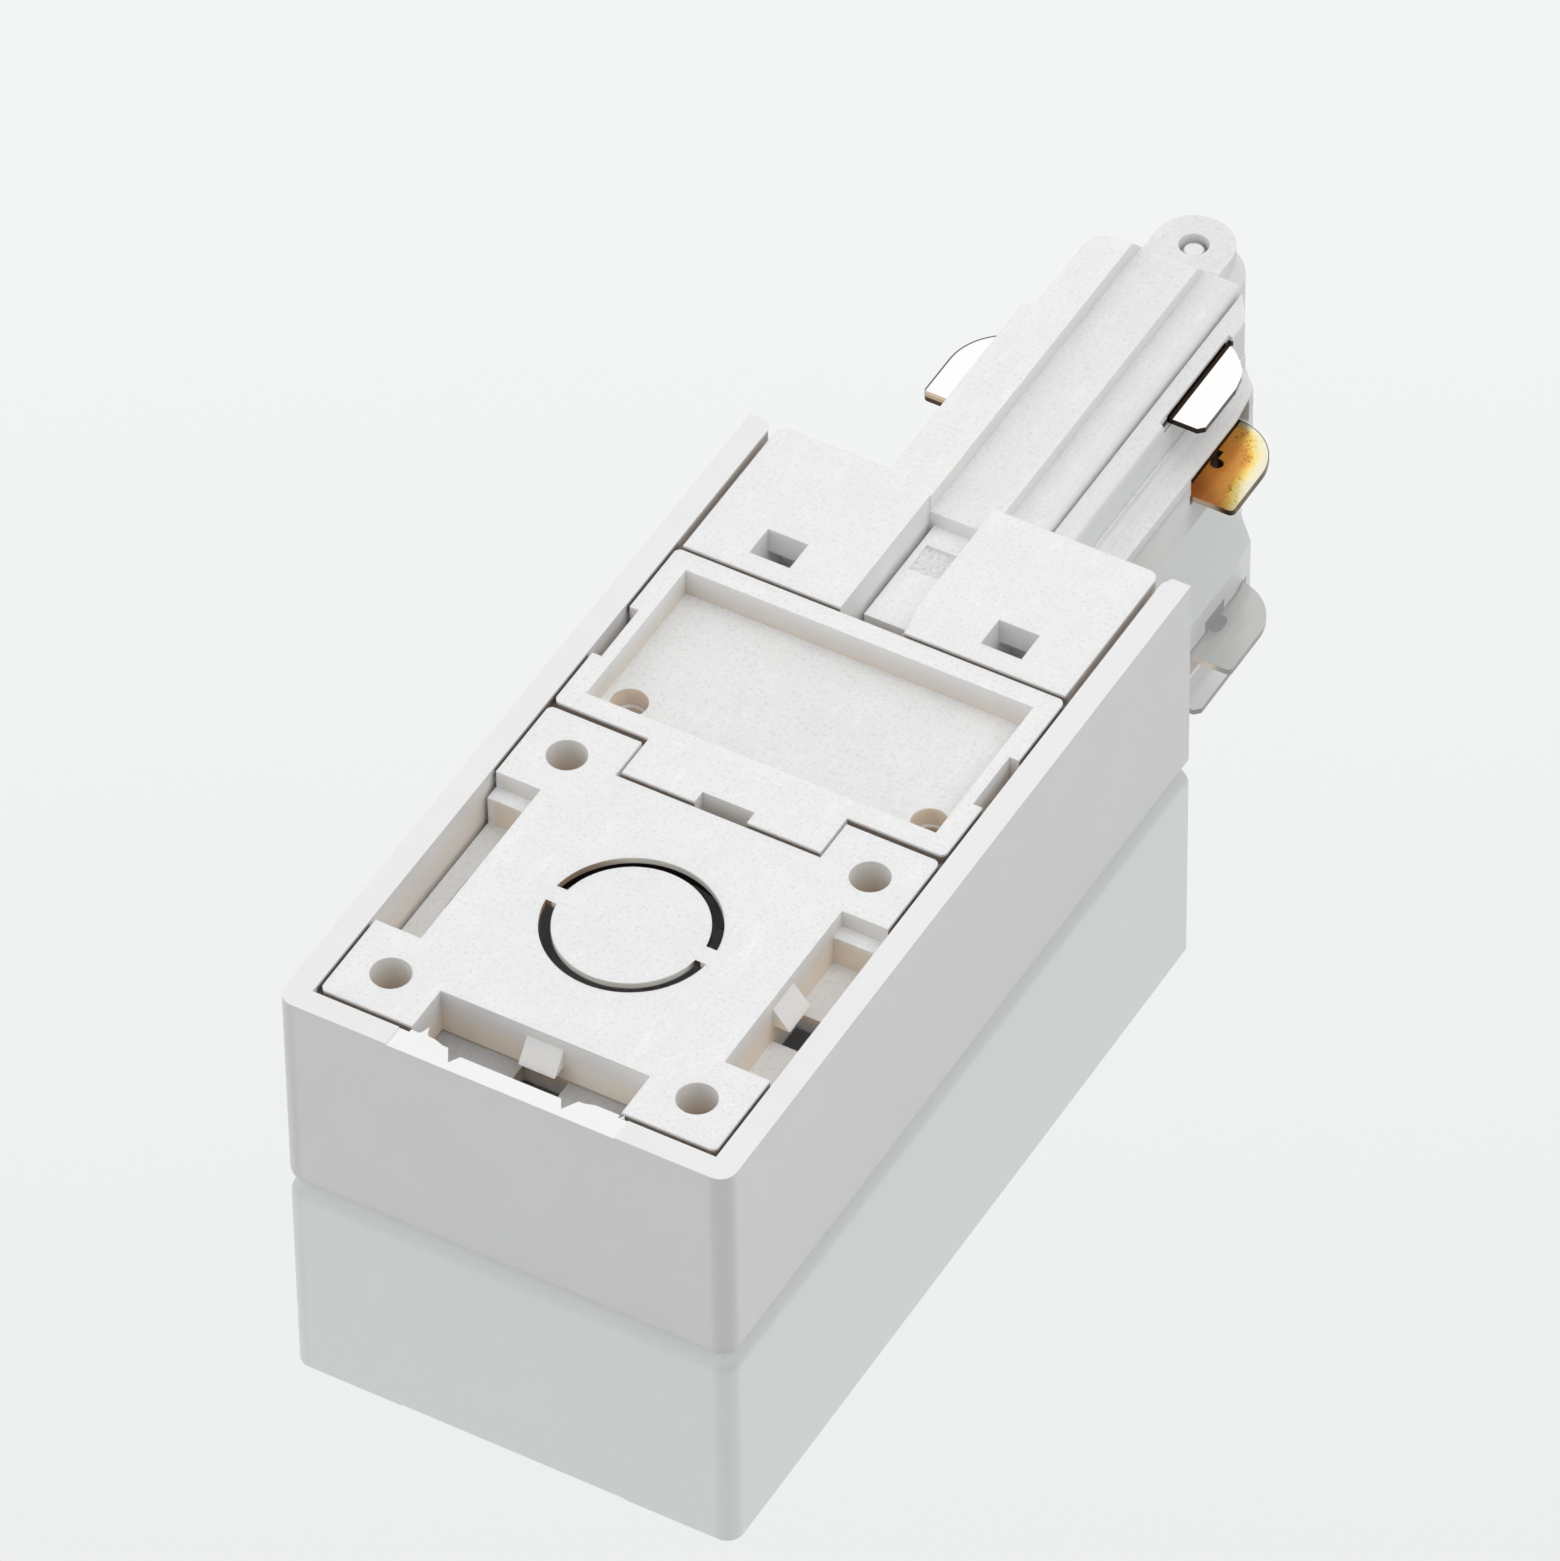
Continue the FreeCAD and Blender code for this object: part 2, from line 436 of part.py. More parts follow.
def low_bar_path(x_far, x_near, grow, z0, z1):
    """Flat run of a lower bar: far leg in the tongue, a jog, near leg to its terminal."""
    far_y, near_y = LOW_BLADE_Y1 - 0.5 + grow, CLAMP_Y0 + 0.5 - grow
    far_leg = box(x_far - BAR_HALF - grow, x_far + BAR_HALF + grow, JOG_Y0 - grow, far_y, z0, z1)
    near_leg = box(x_near - BAR_HALF - grow, x_near + BAR_HALF + grow, near_y, JOG_Y1 + grow, z0, z1)
    x0, x1 = min(x_far, x_near), max(x_far, x_near)
    jog = box(x0 - BAR_HALF - grow, x1 + BAR_HALF + grow, JOG_Y0 - grow, JOG_Y1 + grow, z0, z1)
    return [far_leg, near_leg, jog]


def make_carrier_bottom():
    flange = plan_prism(flange_plan(FLANGE_X), FLANGE_LOW, JOINT_LOW)
    block = box(-BLOCK_HALF, BLOCK_HALF, BLOCK_Y0, BLOCK_Y1, FLOOR, JOINT_LOW)
    block = block.makeFillet(0.8, upright_edges(block, [(-BLOCK_HALF, BLOCK_Y1), (BLOCK_HALF, BLOCK_Y1)]))
    arms = []
    for side in (-1, 1):
        x0 = side * WINDOW_X - 1.3
        y1, z0, z1 = WINDOW_Y - 0.1, LEDGE_Z + 0.05, LEDGE_Z + 1.4
        arms.append(box(x0, x0 + 2.6, y1 - 1.1, y1, JOINT_LOW - 1.0, z1))
        nose = [(y1 - 0.1, z0), (y1 + 0.65, z0), (y1 + 0.65, z0 + 0.35), (y1, z1), (y1 - 0.1, z1)]
        arms.append(side_prism(nose, x0, x0 + 2.6))
    whole = join([block, flange] + tip_column() + terminal_tray() + arms)
    tools = blade_rooms(LOW_ROOM_X, BAR_Z + BAR_T, FAR)
    bar_top = JOINT_LOW
    for x_far, x_near in ((-BAR_X, -CLAMP_X), (BAR_X, 0)):
        tools += low_bar_path(x_far, x_near, 0.08, BAR_Z, bar_top)
    tools.append(box(CLAMP_X - BAR_HALF - 0.5, CLAMP_X + BAR_HALF + GAP, CLAMP_Y0 + 0.5,
                     RISER_Y1 + GAP, BAR_Z, bar_top))
    tools.append(box(HIGH_BAR_X0 - GAP, HIGH_BAR_X1 + GAP, RISER_Y0 - GAP, RISER_Y1 + GAP,
                     BAR_Z, bar_top))
    for x in (-CLAMP_X, 0, CLAMP_X):
        low = BAR_Z + MOUTH_HALF + 0.2
        tools.append(post_y(x, low, MOUTH_HALF, TRAY_WALL_Y - GAP, TRAY_WALL_Y + 2.0))
        tools.append(box(x - MOUTH_HALF, x + MOUTH_HALF, TRAY_WALL_Y - GAP, TRAY_WALL_Y + 1.35,
                         low, FAR))
    for side in (-1, 1):
        tools.append(post(side * LID_HOLE_X, LID_HOLE_Y, 1.1, LID_LOW - 8.7, FAR))
    tools.append(post(0, EYE_Y, BORE_R, 0, BORE_TOP))
    tools.append(post(0, EYE_Y, EYE_HOLE_R, 0, FAR))
    tools.append(plan_prism(hexagon(0, EYE_Y, NUT_FLATS), NUT_Z0, NUT_Z0 + NUT_T))
    return cut(whole, tools)


def post_y(x, z, r, y0, y1):
    """Cylinder lying along y."""
    return Part.makeCylinder(r, y1 - y0, vec(x, y0, z), vec(0, 1, 0))


def low_blade(tip, y0, thick, far_round):
    """Flat contact: square near end, large round at its far outer corner."""
    y1 = LOW_BLADE_Y1
    flat = box(LOW_ROOT, tip, y0, y1, BLADE_Z, BLADE_Z + thick)
    flat = flat.makeFillet(0.45, upright_edges(flat, [(tip, y0)]))
    return flat.makeFillet(far_round, upright_edges(flat, [(tip, y1)]))


def make_live_blade():
    return mirror_x(low_blade(LIVE_TIP, LIVE_Y0, LIVE_T, 4.9))


def make_earth_blade():
    flat = low_blade(EARTH_TIP, EARTH_Y0, BLADE_T, 4.2)
    x, y = FLANGE_X, KEYHOLE_Y
    keyhole = [post(x, y, 0.5, 0, FAR), box(x - 0.6, x - 0.15, y, y + 1.3, 0, FAR)]
    return cut(flat, keyhole)


def make_neutral_blade():
    """Narrower contact, its far corner cut back in short straight runs."""
    tip, y0, y1 = NEUTRAL_TIP, HIGH_BLADE_Y0, HIGH_BLADE_Y1
    outline = [(HIGH_ROOT, y0), (tip - 0.45, y0), (tip, y0 + 0.45), (tip, y1 - 3.65), (tip - 0.25, y1 - 2.35),
               (tip - 0.5, y1 - 1.75), (tip - 1.07, y1 - 1.05), (tip - 1.97, y1 - 0.2), (tip - 2.4, y1),
               (HIGH_ROOT, y1)]
    return plan_prism(outline, HIGH_BLADE_Z, HIGH_BLADE_Z + BLADE_T)


def make_low_bar(x_far, x_near):
    return join(low_bar_path(x_far, x_near, 0, BAR_Z, BAR_Z + BAR_T))


def make_neutral_bar():
    x0, x1 = HIGH_BAR_X0, HIGH_BAR_X1
    run = box(x0, x1, RISER_Y0, HIGH_BLADE_Y1, HIGH_BAR_Z0, HIGH_BAR_Z1)
    riser = box(x0, x1, RISER_Y0, RISER_Y1, BAR_Z, HIGH_BAR_Z1)
    foot = box(CLAMP_X - BAR_HALF, CLAMP_X + BAR_HALF, CLAMP_Y0 + 0.5, RISER_Y1, BAR_Z, BAR_Z + BAR_T)
    return join([run, riser, foot])


def make_clamp(x):
    """Terminal cage: a square loop with a tapped hole in its top."""
    outer = box(x - CLAMP_HALF, x + CLAMP_HALF, CLAMP_Y0, CLAMP_Y1, CLAMP_Z0, CLAMP_Z1)
    outer = outer.makeChamfer(0.4, [e for e in outer.Edges if abs(e.BoundBox.YLength) > 5])
    mouth = box(x - MOUTH_HALF, x + MOUTH_HALF, 0, FAR, BAR_Z - 0.06, CLAMP_Z1 - 1.7)
    return cut(outer, [mouth, post(x, (CLAMP_Y0 + CLAMP_Y1) / 2, NUT_HOLE_R, CLAMP_Z1 - 3.0, FAR)])


def slotted_head(x, y, r, z0, z1, shank_r, shank_low):
    """Cheese-head screw, slot in its top."""
    head = post(x, y, r, z0, z1)
    head = head.makeChamfer(0.25, [e for e in head.Edges if e.BoundBox.ZMin > z1 - GAP])
    shank = post(x, y, shank_r, shank_low, z0 + GAP)
    slot = box(x - FAR, x + FAR, y - 0.4, y + 0.4, z1 - 0.9, FAR)
    return join([head, shank]).cut(slot)


def make_terminal_screw(x):
    return slotted_head(x, (CLAMP_Y0 + CLAMP_Y1) / 2, SCREW_HEAD_R, CLAMP_Z1,
                        CLAMP_Z1 + SCREW_HEAD_T, THREAD_R, CLAMP_Z1 - 2.6)


def make_cord_clamp():
    y0, y1, half = CORD_Y - 2.2, CORD_Y + 2.2, CORD_BAR_HALF
    bar = box(-half, half, y0, y1, CORD_POST_Z, CORD_POST_Z + CORD_BAR_T)
    bar = bar.makeFillet(1.5, upright_edges(bar, [(x, y) for x in (-half, half) for y in (y0, y1)]))
    ridge = box(-4.0, 4.0, CORD_Y - 0.6, CORD_Y + 0.6, CORD_POST_Z - 1.0, CORD_POST_Z + GAP)
    holes = [post(side * CORD_POST_X, CORD_Y, 1.7, 0, FAR) for side in (-1, 1)]
    return cut(join([bar, ridge]), holes)


def make_cord_screw(side):
    z = CORD_POST_Z + CORD_BAR_T
    return slotted_head(side * CORD_POST_X, CORD_Y, SCREW_HEAD_R, z, z + 1.7, THREAD_R, z - 7.5)


def make_locking_screw():
    """Set screw, driven from below, with a plain round point that rises through the eye."""
    body = post(0, EYE_Y, THREAD_R, COLUMN_LOW + 0.3, BORE_TOP - 0.7)
    point = post(0, EYE_Y, POINT_R, BORE_TOP - 0.8, POINT_TOP)
    point = point.makeChamfer(0.15, [e for e in point.Edges if e.BoundBox.ZMin > POINT_TOP - GAP])
    socket = plan_prism(hexagon(0, EYE_Y, 1.5), 0, COLUMN_LOW + 2.1)
    return join([body, point]).cut(socket)


def make_locking_nut():
    nut = plan_prism(hexagon(0, EYE_Y, NUT_FLATS), NUT_Z0, NUT_Z0 + NUT_T)
    return nut.cut(post(0, EYE_Y, NUT_HOLE_R, 0, FAR))


def write(name, shape):
    """Move to the frame's middle and write one file."""
    shape = shape.copy()
    shape.translate(vec(0, -TOTAL_L / 2, 0))
    solids = shape.Solids
    if len(solids) != 1:
        raise ValueError("%s has %d solids" % (name, len(solids)))
    if not solids[0].isValid():
        raise ValueError("%s is not valid" % name)
    solids[0].exportStep("parts/%s.step" % name)


os.makedirs("parts", exist_ok=True)
write("casing", make_casing())
write("base_plate", make_base_plate())
write("terminal_lid", make_terminal_lid())
write("carrier_top", make_carrier_top())
write("carrier_mid", make_carrier_mid())
write("carrier_bottom", make_carrier_bottom())
write("live_blade", make_live_blade())
write("neutral_blade", make_neutral_blade())
write("earth_blade", make_earth_blade())
write("live_bar", make_low_bar(-BAR_X, -CLAMP_X))
write("neutral_bar", make_neutral_bar())
write("earth_bar", make_low_bar(BAR_X, 0))
write("live_clamp", make_clamp(-CLAMP_X))
write("neutral_clamp", make_clamp(CLAMP_X))
write("earth_clamp", make_clamp(0))
write("live_screw", make_terminal_screw(-CLAMP_X))
write("neutral_screw", make_terminal_screw(CLAMP_X))
write("earth_screw", make_terminal_screw(0))
write("locking_screw", make_locking_screw())
write("locking_nut", make_locking_nut())
write("cord_clamp", make_cord_clamp())
write("cord_screw_left", make_cord_screw(-1))
write("cord_screw_right", make_cord_screw(1))
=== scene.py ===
import math

import bmesh
import bpy
import numpy as np
from mathutils import Matrix, Vector


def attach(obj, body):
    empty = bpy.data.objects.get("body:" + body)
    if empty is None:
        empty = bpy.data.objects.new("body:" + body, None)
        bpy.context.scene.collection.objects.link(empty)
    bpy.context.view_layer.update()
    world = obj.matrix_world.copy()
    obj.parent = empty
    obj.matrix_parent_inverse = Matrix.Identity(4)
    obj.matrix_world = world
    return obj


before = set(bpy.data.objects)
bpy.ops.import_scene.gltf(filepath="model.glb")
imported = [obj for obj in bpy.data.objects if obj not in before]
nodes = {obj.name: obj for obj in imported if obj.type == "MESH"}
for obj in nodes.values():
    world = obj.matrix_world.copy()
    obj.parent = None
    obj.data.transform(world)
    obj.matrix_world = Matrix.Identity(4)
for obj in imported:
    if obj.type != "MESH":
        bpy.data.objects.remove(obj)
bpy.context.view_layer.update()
scene = bpy.context.scene
scene.view_settings.view_transform = "Standard"

# Sizes of the part, in millimetres; y is counted from the casing's closed end, and a pair is from and to

MM = 0.001
Y_MID = 51.75              # the frame's origin
TOP = 18.55                # height of the open back's face

CASE_INSIDE = 16.05        # from the middle to the casing's side wall
CASE_NEAR = 1.4            # the near wall's inner face lies past this
COVERED = ((2.4, 9.5), (26.6, 39.6), (45.1, 66.2))     # where a cover stands close to the side wall
KNOCK_HALF, KNOCK_Y = 9.1, 3.0                         # smooth part of the near rim
HATCH_PITCH = 0.30
CORNER_X, CORNER_Y = (16.3, 16.9), (1.5, 0.6)          # the rounded near corners, darkened by painted shade

COVER_SIDE = 15.3          # what stands further out than this on a cover faces the casing
INNER_SIDE = 15.2          # further in than this a cover's walls take a warm shade
PLATE_FRONT, LID_FRONT, BLOCK_FRONT = (2.2, 2.45), (34.2, 34.45), (52.0, 52.3)
LID_TAB_X, LID_TAB_FRONT = (-8.1, 8.1), (30.4, 30.7)

POCKET_X, POCKET_Y = (-8.45, 8.45), 6.35               # the base plate's near pocket
POCKET_EDGE, POCKET_LOW, POCKET_SEAM = TOP - 0.15, TOP - 3.6, TOP - 3.85
POCKET_FADE = (5.0, -7.0)  # painted light on its walls grows less bright to the left
RING_Y = 18.025            # centre of the knock-out's ring slot
RING, RING_MID, THIN_R = (5.3, 6.8), 6.0, 7.6
RING_WALL, RING_BROWN = TOP - 0.52, TOP - 1.0          # how far down its pale and its brown wall show

CHANNEL_X, CHANNEL_Y, CHANNEL_LOW = (-2.7, 2.6), (54.0, 65.05), TOP - 2.4
PATCH_X, PATCH_Y = (-1.8, 2.2), (60.3, 63.1)           # rough patch in the channel
FLANGE_X = 8.6             # further out than this stands the side of the tongue's lower half
FLANGE_FADE = (84.0, 70.0)
BLADE_Y = (83.0, 92.2)     # where the contacts come out of the tongue
SLOT_X, SLOT_Y, SLOT_Z = (5.3, 6.95), (83.0, 93.2), (13.9, 14.62)
MOUTH_Z = (7.6, 8.52)
LIVE = (13.35, 83.0, 91.9, 4.9)        # tip, near end, far end and corner radius of the live contact
EARTH = (12.24, 83.25, 91.9, 4.2)      # and of the earth contact
BRASS_RAMP_START, BRASS_RAMP_LENGTH = 7.8, 4.2   # the colours of the stain and of the painted reflection run outwards over this
LIVE_UPPER = 8.28          # the live contact's near side is beige above this
NEUTRAL_ROOT, EARTH_ROOT = 6.86, 8.26  # painted shadow makes the contacts black further in than this
EARTH_LOW = 7.85           # underside of the earth contact
KEYHOLE = (8.83, 87.1)                 # its middle, in x and y
SHADE_X, SHADE_R, SHADE_LOW = KEYHOLE[0] - 0.2, 1.483, 6.6     # painted black shadow under it

# Colours

WHITE = (0.868, 0.868, 0.864)
CASE_WHITE = (0.85, 0.85, 0.85)
# Painted shade for the narrow gaps between parts, dark and paler
GAP_SHADE_DARK = (0.34, 0.28, 0.235)
GAP_SHADE_PALE = (0.68, 0.62, 0.57)
SHADOW = (0.03, 0.022, 0.018)
# dark sheared edge, and the painted shadow at the neutral contact's root
SHEAR_AND_SHADOW = (0.04, 0.028, 0.02)
TIN_LIGHT, TIN_DARK = (0.995, 0.99, 0.985), (0.97, 0.965, 0.96)


# Camera: the pose that lines the part's corners up with the photograph's

CAMERA_TURN = (-30.2735, 45.6272, -0.8621)
CAMERA_PLACE = (362.484, -582.214 - Y_MID, 749.272)
FOCAL_PIXELS, FRAME_PIXELS, SENSOR = 14613.02, 1561, 36


def make_camera():
    """Long lens, placed by azimuth, elevation and roll in degrees about its own axis."""
    az, el, roll = (math.radians(a) for a in CAMERA_TURN)
    ahead = Vector((math.sin(az) * math.cos(el), math.cos(az) * math.cos(el), -math.sin(el)))
    right = ahead.cross(Vector((0, 0, 1))).normalized()
    up = right.cross(ahead)
    across = math.cos(roll) * right + math.sin(roll) * up
    upright = -math.sin(roll) * right + math.cos(roll) * up
    data = bpy.data.cameras.new("camera")
    data.lens = FOCAL_PIXELS / FRAME_PIXELS * SENSOR
    data.sensor_width = SENSOR
    data.clip_start, data.clip_end = 0.1, 10
    cam = bpy.data.objects.new("camera", data)
    turn = Matrix((across, upright, -ahead)).transposed()
    cam.matrix_world = Matrix.Translation(Vector(CAMERA_PLACE) * MM) @ turn.to_4x4()
    scene.collection.objects.link(cam)
    scene.camera = cam


make_camera()


# Shader nodes

def new_material(name):
    mat = bpy.data.materials.new(name)
    mat.use_nodes = True
    tree = mat.node_tree
    return mat, tree, tree.nodes["Principled BSDF"]


def feed(tree, value, socket):
    """Links a socket, or writes a number or colour, into another socket."""
    if isinstance(value, bpy.types.NodeSocket):
        tree.links.new(value, socket)
    elif isinstance(value, tuple) and socket.type == "RGBA":
        socket.default_value = (*value, 1)
    else:
        socket.default_value = value


def noise(tree, vector, scale, detail=2.0, rough=0.5):
    node = tree.nodes.new("ShaderNodeTexNoise")
    node.inputs["Scale"].default_value = scale
    node.inputs["Detail"].default_value = detail
    node.inputs["Roughness"].default_value = rough
    tree.links.new(vector, node.inputs["Vector"])
    return node.outputs["Fac"]


def ramp(tree, value, stops):
    """Colour by value, from stops of a place and a colour each."""
    node = tree.nodes.new("ShaderNodeValToRGB")
    elements = node.color_ramp.elements
    while len(elements) < len(stops):
        elements.new(0.5)
    for element, (place_at, colour) in zip(elements, stops):
        element.position = place_at
        element.color = (*colour, 1)
    tree.links.new(value, node.inputs[0])
    return node.outputs[0]


def mix(tree, factor, a, b, blend="MIX"):
    node = tree.nodes.new("ShaderNodeMix")
    node.data_type = "RGBA"
    node.blend_type = blend
    for value, socket in ((factor, node.inputs[0]), (a, node.inputs[6]), (b, node.inputs[7])):
        feed(tree, value, socket)
    return node.outputs[2]


def bump(tree, shader, height, strength, distance):
    node = tree.nodes.new("ShaderNodeBump")
    node.inputs["Strength"].default_value = strength
    node.inputs["Distance"].default_value = distance
    tree.links.new(height, node.inputs["Height"])
    tree.links.new(node.outputs[0], shader.inputs["Normal"])


def calc(tree, operation, a, b=0.0, c=None, clamp=False):
    """One arithmetic node; numbers and sockets both allowed."""
    node = tree.nodes.new("ShaderNodeMath")
    node.operation = operation
    node.use_clamp = clamp
    for value, socket in zip((a, b, c), node.inputs):
        if value is not None:
            feed(tree, value, socket)
    return node.outputs[0]


def scaled(tree, vector, factors):
    """Vector times a vector, axis by axis."""
    node = tree.nodes.new("ShaderNodeVectorMath")
    node.operation = "MULTIPLY"
    tree.links.new(vector, node.inputs[0])
    feed(tree, factors, node.inputs[1])
    return node.outputs[0]


def span(tree, value, start, end):
    """0 at start, 1 at end, smooth between."""
    node = tree.nodes.new("ShaderNodeMapRange")
    node.interpolation_type = "SMOOTHSTEP"
    node.inputs["From Min"].default_value = start
    node.inputs["From Max"].default_value = end
    tree.links.new(value, node.inputs["Value"])
    return node.outputs[0]


def split(tree, vector):
    """The three parts of a vector."""
    node = tree.nodes.new("ShaderNodeSeparateXYZ")
    tree.links.new(vector, node.inputs[0])
    return node.outputs[0], node.outputs[1], node.outputs[2]


def place(tree):
    """Position in millimetres, whole and as x, y and z, with how far the surface faces up."""
    coord = tree.nodes.new("ShaderNodeTexCoord")
    at = scaled(tree, coord.outputs["Object"], (1 / MM, 1 / MM, 1 / MM))
    x, y, z = split(tree, at)
    up = split(tree, coord.outputs["Normal"])[2]
    return at, x, calc(tree, "ADD", y, Y_MID), z, up


def facing(tree):
    """How far the surface faces along x and along y, from -1 to 1."""
    coord = tree.nodes.new("ShaderNodeTexCoord")
    return split(tree, coord.outputs["Normal"])[:2]


def tint(tree, base, factor, colour):
    """Multiplies the base towards a colour."""
    return mix(tree, factor, base, mix(tree, 1.0, base, colour, "MULTIPLY"))


def wall_share(tree, up):
    """1 where the surface stands upright, 0 where it lies flat."""
    return opposite(tree, span(tree, calc(tree, "ABSOLUTE", up), 0.35, 0.8))


def both(tree, *shares):
    """All of these at once."""
    whole = shares[0]
    for share in shares[1:]:
        whole = calc(tree, "MULTIPLY", whole, share)
    return whole


def either(tree, *shares):
    """Any of these."""
    whole = shares[0]
    for share in shares[1:]:
        whole = calc(tree, "MAXIMUM", whole, share)
    return whole


def opposite(tree, share):
    return calc(tree, "SUBTRACT", 1.0, share)


def over(tree, value, limit):
    return calc(tree, "GREATER_THAN", value, limit)


def under(tree, value, limit):
    return calc(tree, "LESS_THAN", value, limit)


def within(tree, value, low, high):
    return both(tree, over(tree, value, low), under(tree, value, high))


def square(tree, value):
    return calc(tree, "POWER", value, 2.0)


def grey(value):
    return (value, value, value)


# Effects that several materials share

FLOAT, VECTOR, COLOUR = "NodeSocketFloat", "NodeSocketVector", "NodeSocketColor"


def make_group(name, inputs, outputs, build):
    """Shader node group: build gets the group and its inputs and gives a value for each output."""
    group = bpy.data.node_groups.new(name, "ShaderNodeTree")
    for label, kind, value in inputs:
        socket = group.interface.new_socket(label, in_out="INPUT", socket_type=kind)
        if value is not None:
            socket.default_value = value
    for label, kind in outputs:
        group.interface.new_socket(label, in_out="OUTPUT", socket_type=kind)
    entry = group.nodes.new("NodeGroupInput")
    way_out = group.nodes.new("NodeGroupOutput")
    for label, value in build(group, entry.outputs).items():
        group.links.new(value, way_out.inputs[label])
    return group


def use_group(tree, group, **values):
    """A group placed in a material, with its inputs set or linked by name."""
    node = tree.nodes.new("ShaderNodeGroup")
    node.node_tree = group
    for label, value in values.items():
        feed(tree, value, node.inputs[label])
    return node.outputs


def build_speckle(tree, given):
    """Moulding grain: dark dots below a noise level, light ones above it, cloudy patches and flow marks."""
    at, depth = given["Position"], given["Depth"]
    grain = noise(tree, at, 3.4, 3.0, 0.72)
    dark = calc(tree, "MULTIPLY", span(tree, grain, 0.47, 0.34), depth)
    light = calc(tree, "MULTIPLY", span(tree, grain, 0.56, 0.66), 0.035)
    dots = calc(tree, "ADD", opposite(tree, dark), light)
    cloud = ramp(tree, noise(tree, at, 0.32, 3.0), [(0.35, (0.975, 0.975, 0.978)), (0.65, grey(1.0))])
    long_way = scaled(tree, at, (1.0, 0.35, 1.0))
    flow = ramp(tree, noise(tree, long_way, 0.9, 4.0, 0.62),
                [(0.56, grey(1.0)), (0.66, grey(1.03)), (0.74, grey(1.05))])
    rough = ramp(tree, noise(tree, at, 2.1), [(0.3, grey(0.44)), (0.7, grey(0.58))])
    return {"Dots": dots, "Cloud": cloud, "Flow": flow, "Relief": grain, "Roughness": rough}


def build_gap_shade(tree, given):
    """Painted shade in a narrow gap: a band just under the open back's face, paler by the carrier's block.
    """
    z, y = given["Z"], given["Y"]
    band = both(tree, span(tree, z, TOP - 0.12, TOP - 0.3), span(tree, z, TOP - 1.1, TOP - 0.75))
    shade = mix(tree, span(tree, y, BLOCK_FRONT[1], BLOCK_FRONT[1] + 0.2), GAP_SHADE_DARK, GAP_SHADE_PALE)
    return {"Mask": both(tree, band, given["Where"]), "Shade": shade}


def build_rolled(tree, given):
    """Rolled sheet: fine lines along one axis, faint tarnish in patches."""
    at = given["Position"]
    lines = noise(tree, scaled(tree, at, given["Stretch"]), 6.0, 2.0)
    return {"Lines": lines, "Stain": noise(tree, at, 0.8, 3.0)}


SPECKLE = make_group("moulding_speckle", [("Position", VECTOR, None), ("Depth", FLOAT, 0.1)],
                     [("Dots", FLOAT), ("Cloud", COLOUR), ("Flow", COLOUR), ("Relief", FLOAT),
                      ("Roughness", COLOUR)], build_speckle)
GAP_SHADE_GROUP = make_group("painted_gap_shade", [("Y", FLOAT, 0.0), ("Z", FLOAT, 0.0), ("Where", FLOAT, 1.0)],
                       [("Mask", FLOAT), ("Shade", COLOUR)], build_gap_shade)
ROLLED = make_group("rolled_sheet", [("Position", VECTOR, None), ("Stretch", VECTOR, (1.0, 1.0, 1.0))],
                    [("Lines", FLOAT), ("Stain", FLOAT)], build_rolled)


# Plastics

def cover_gaps(tree, base, x, y, z, wall):
    """Painted shade on the walls that stand close to the casing or to the next cover."""
    east, north = facing(tree)
    sides = both(tree, over(tree, calc(tree, "ABSOLUTE", east), 0.5),
                 over(tree, calc(tree, "ABSOLUTE", x), COVER_SIDE))
    lid_tab = both(tree, within(tree, x, *LID_TAB_X), within(tree, y, *LID_TAB_FRONT))
    fronts = both(tree, under(tree, north, -0.5),
                  either(tree, within(tree, y, *PLATE_FRONT), lid_tab, within(tree, y, *LID_FRONT),
                         within(tree, y, *BLOCK_FRONT)))
    # painted shade in the gaps
    painted_gap = use_group(tree, GAP_SHADE_GROUP, Y=y, Z=z, Where=both(tree, wall, either(tree, sides, fronts)))
    return tint(tree, base, painted_gap["Mask"], painted_gap["Shade"])


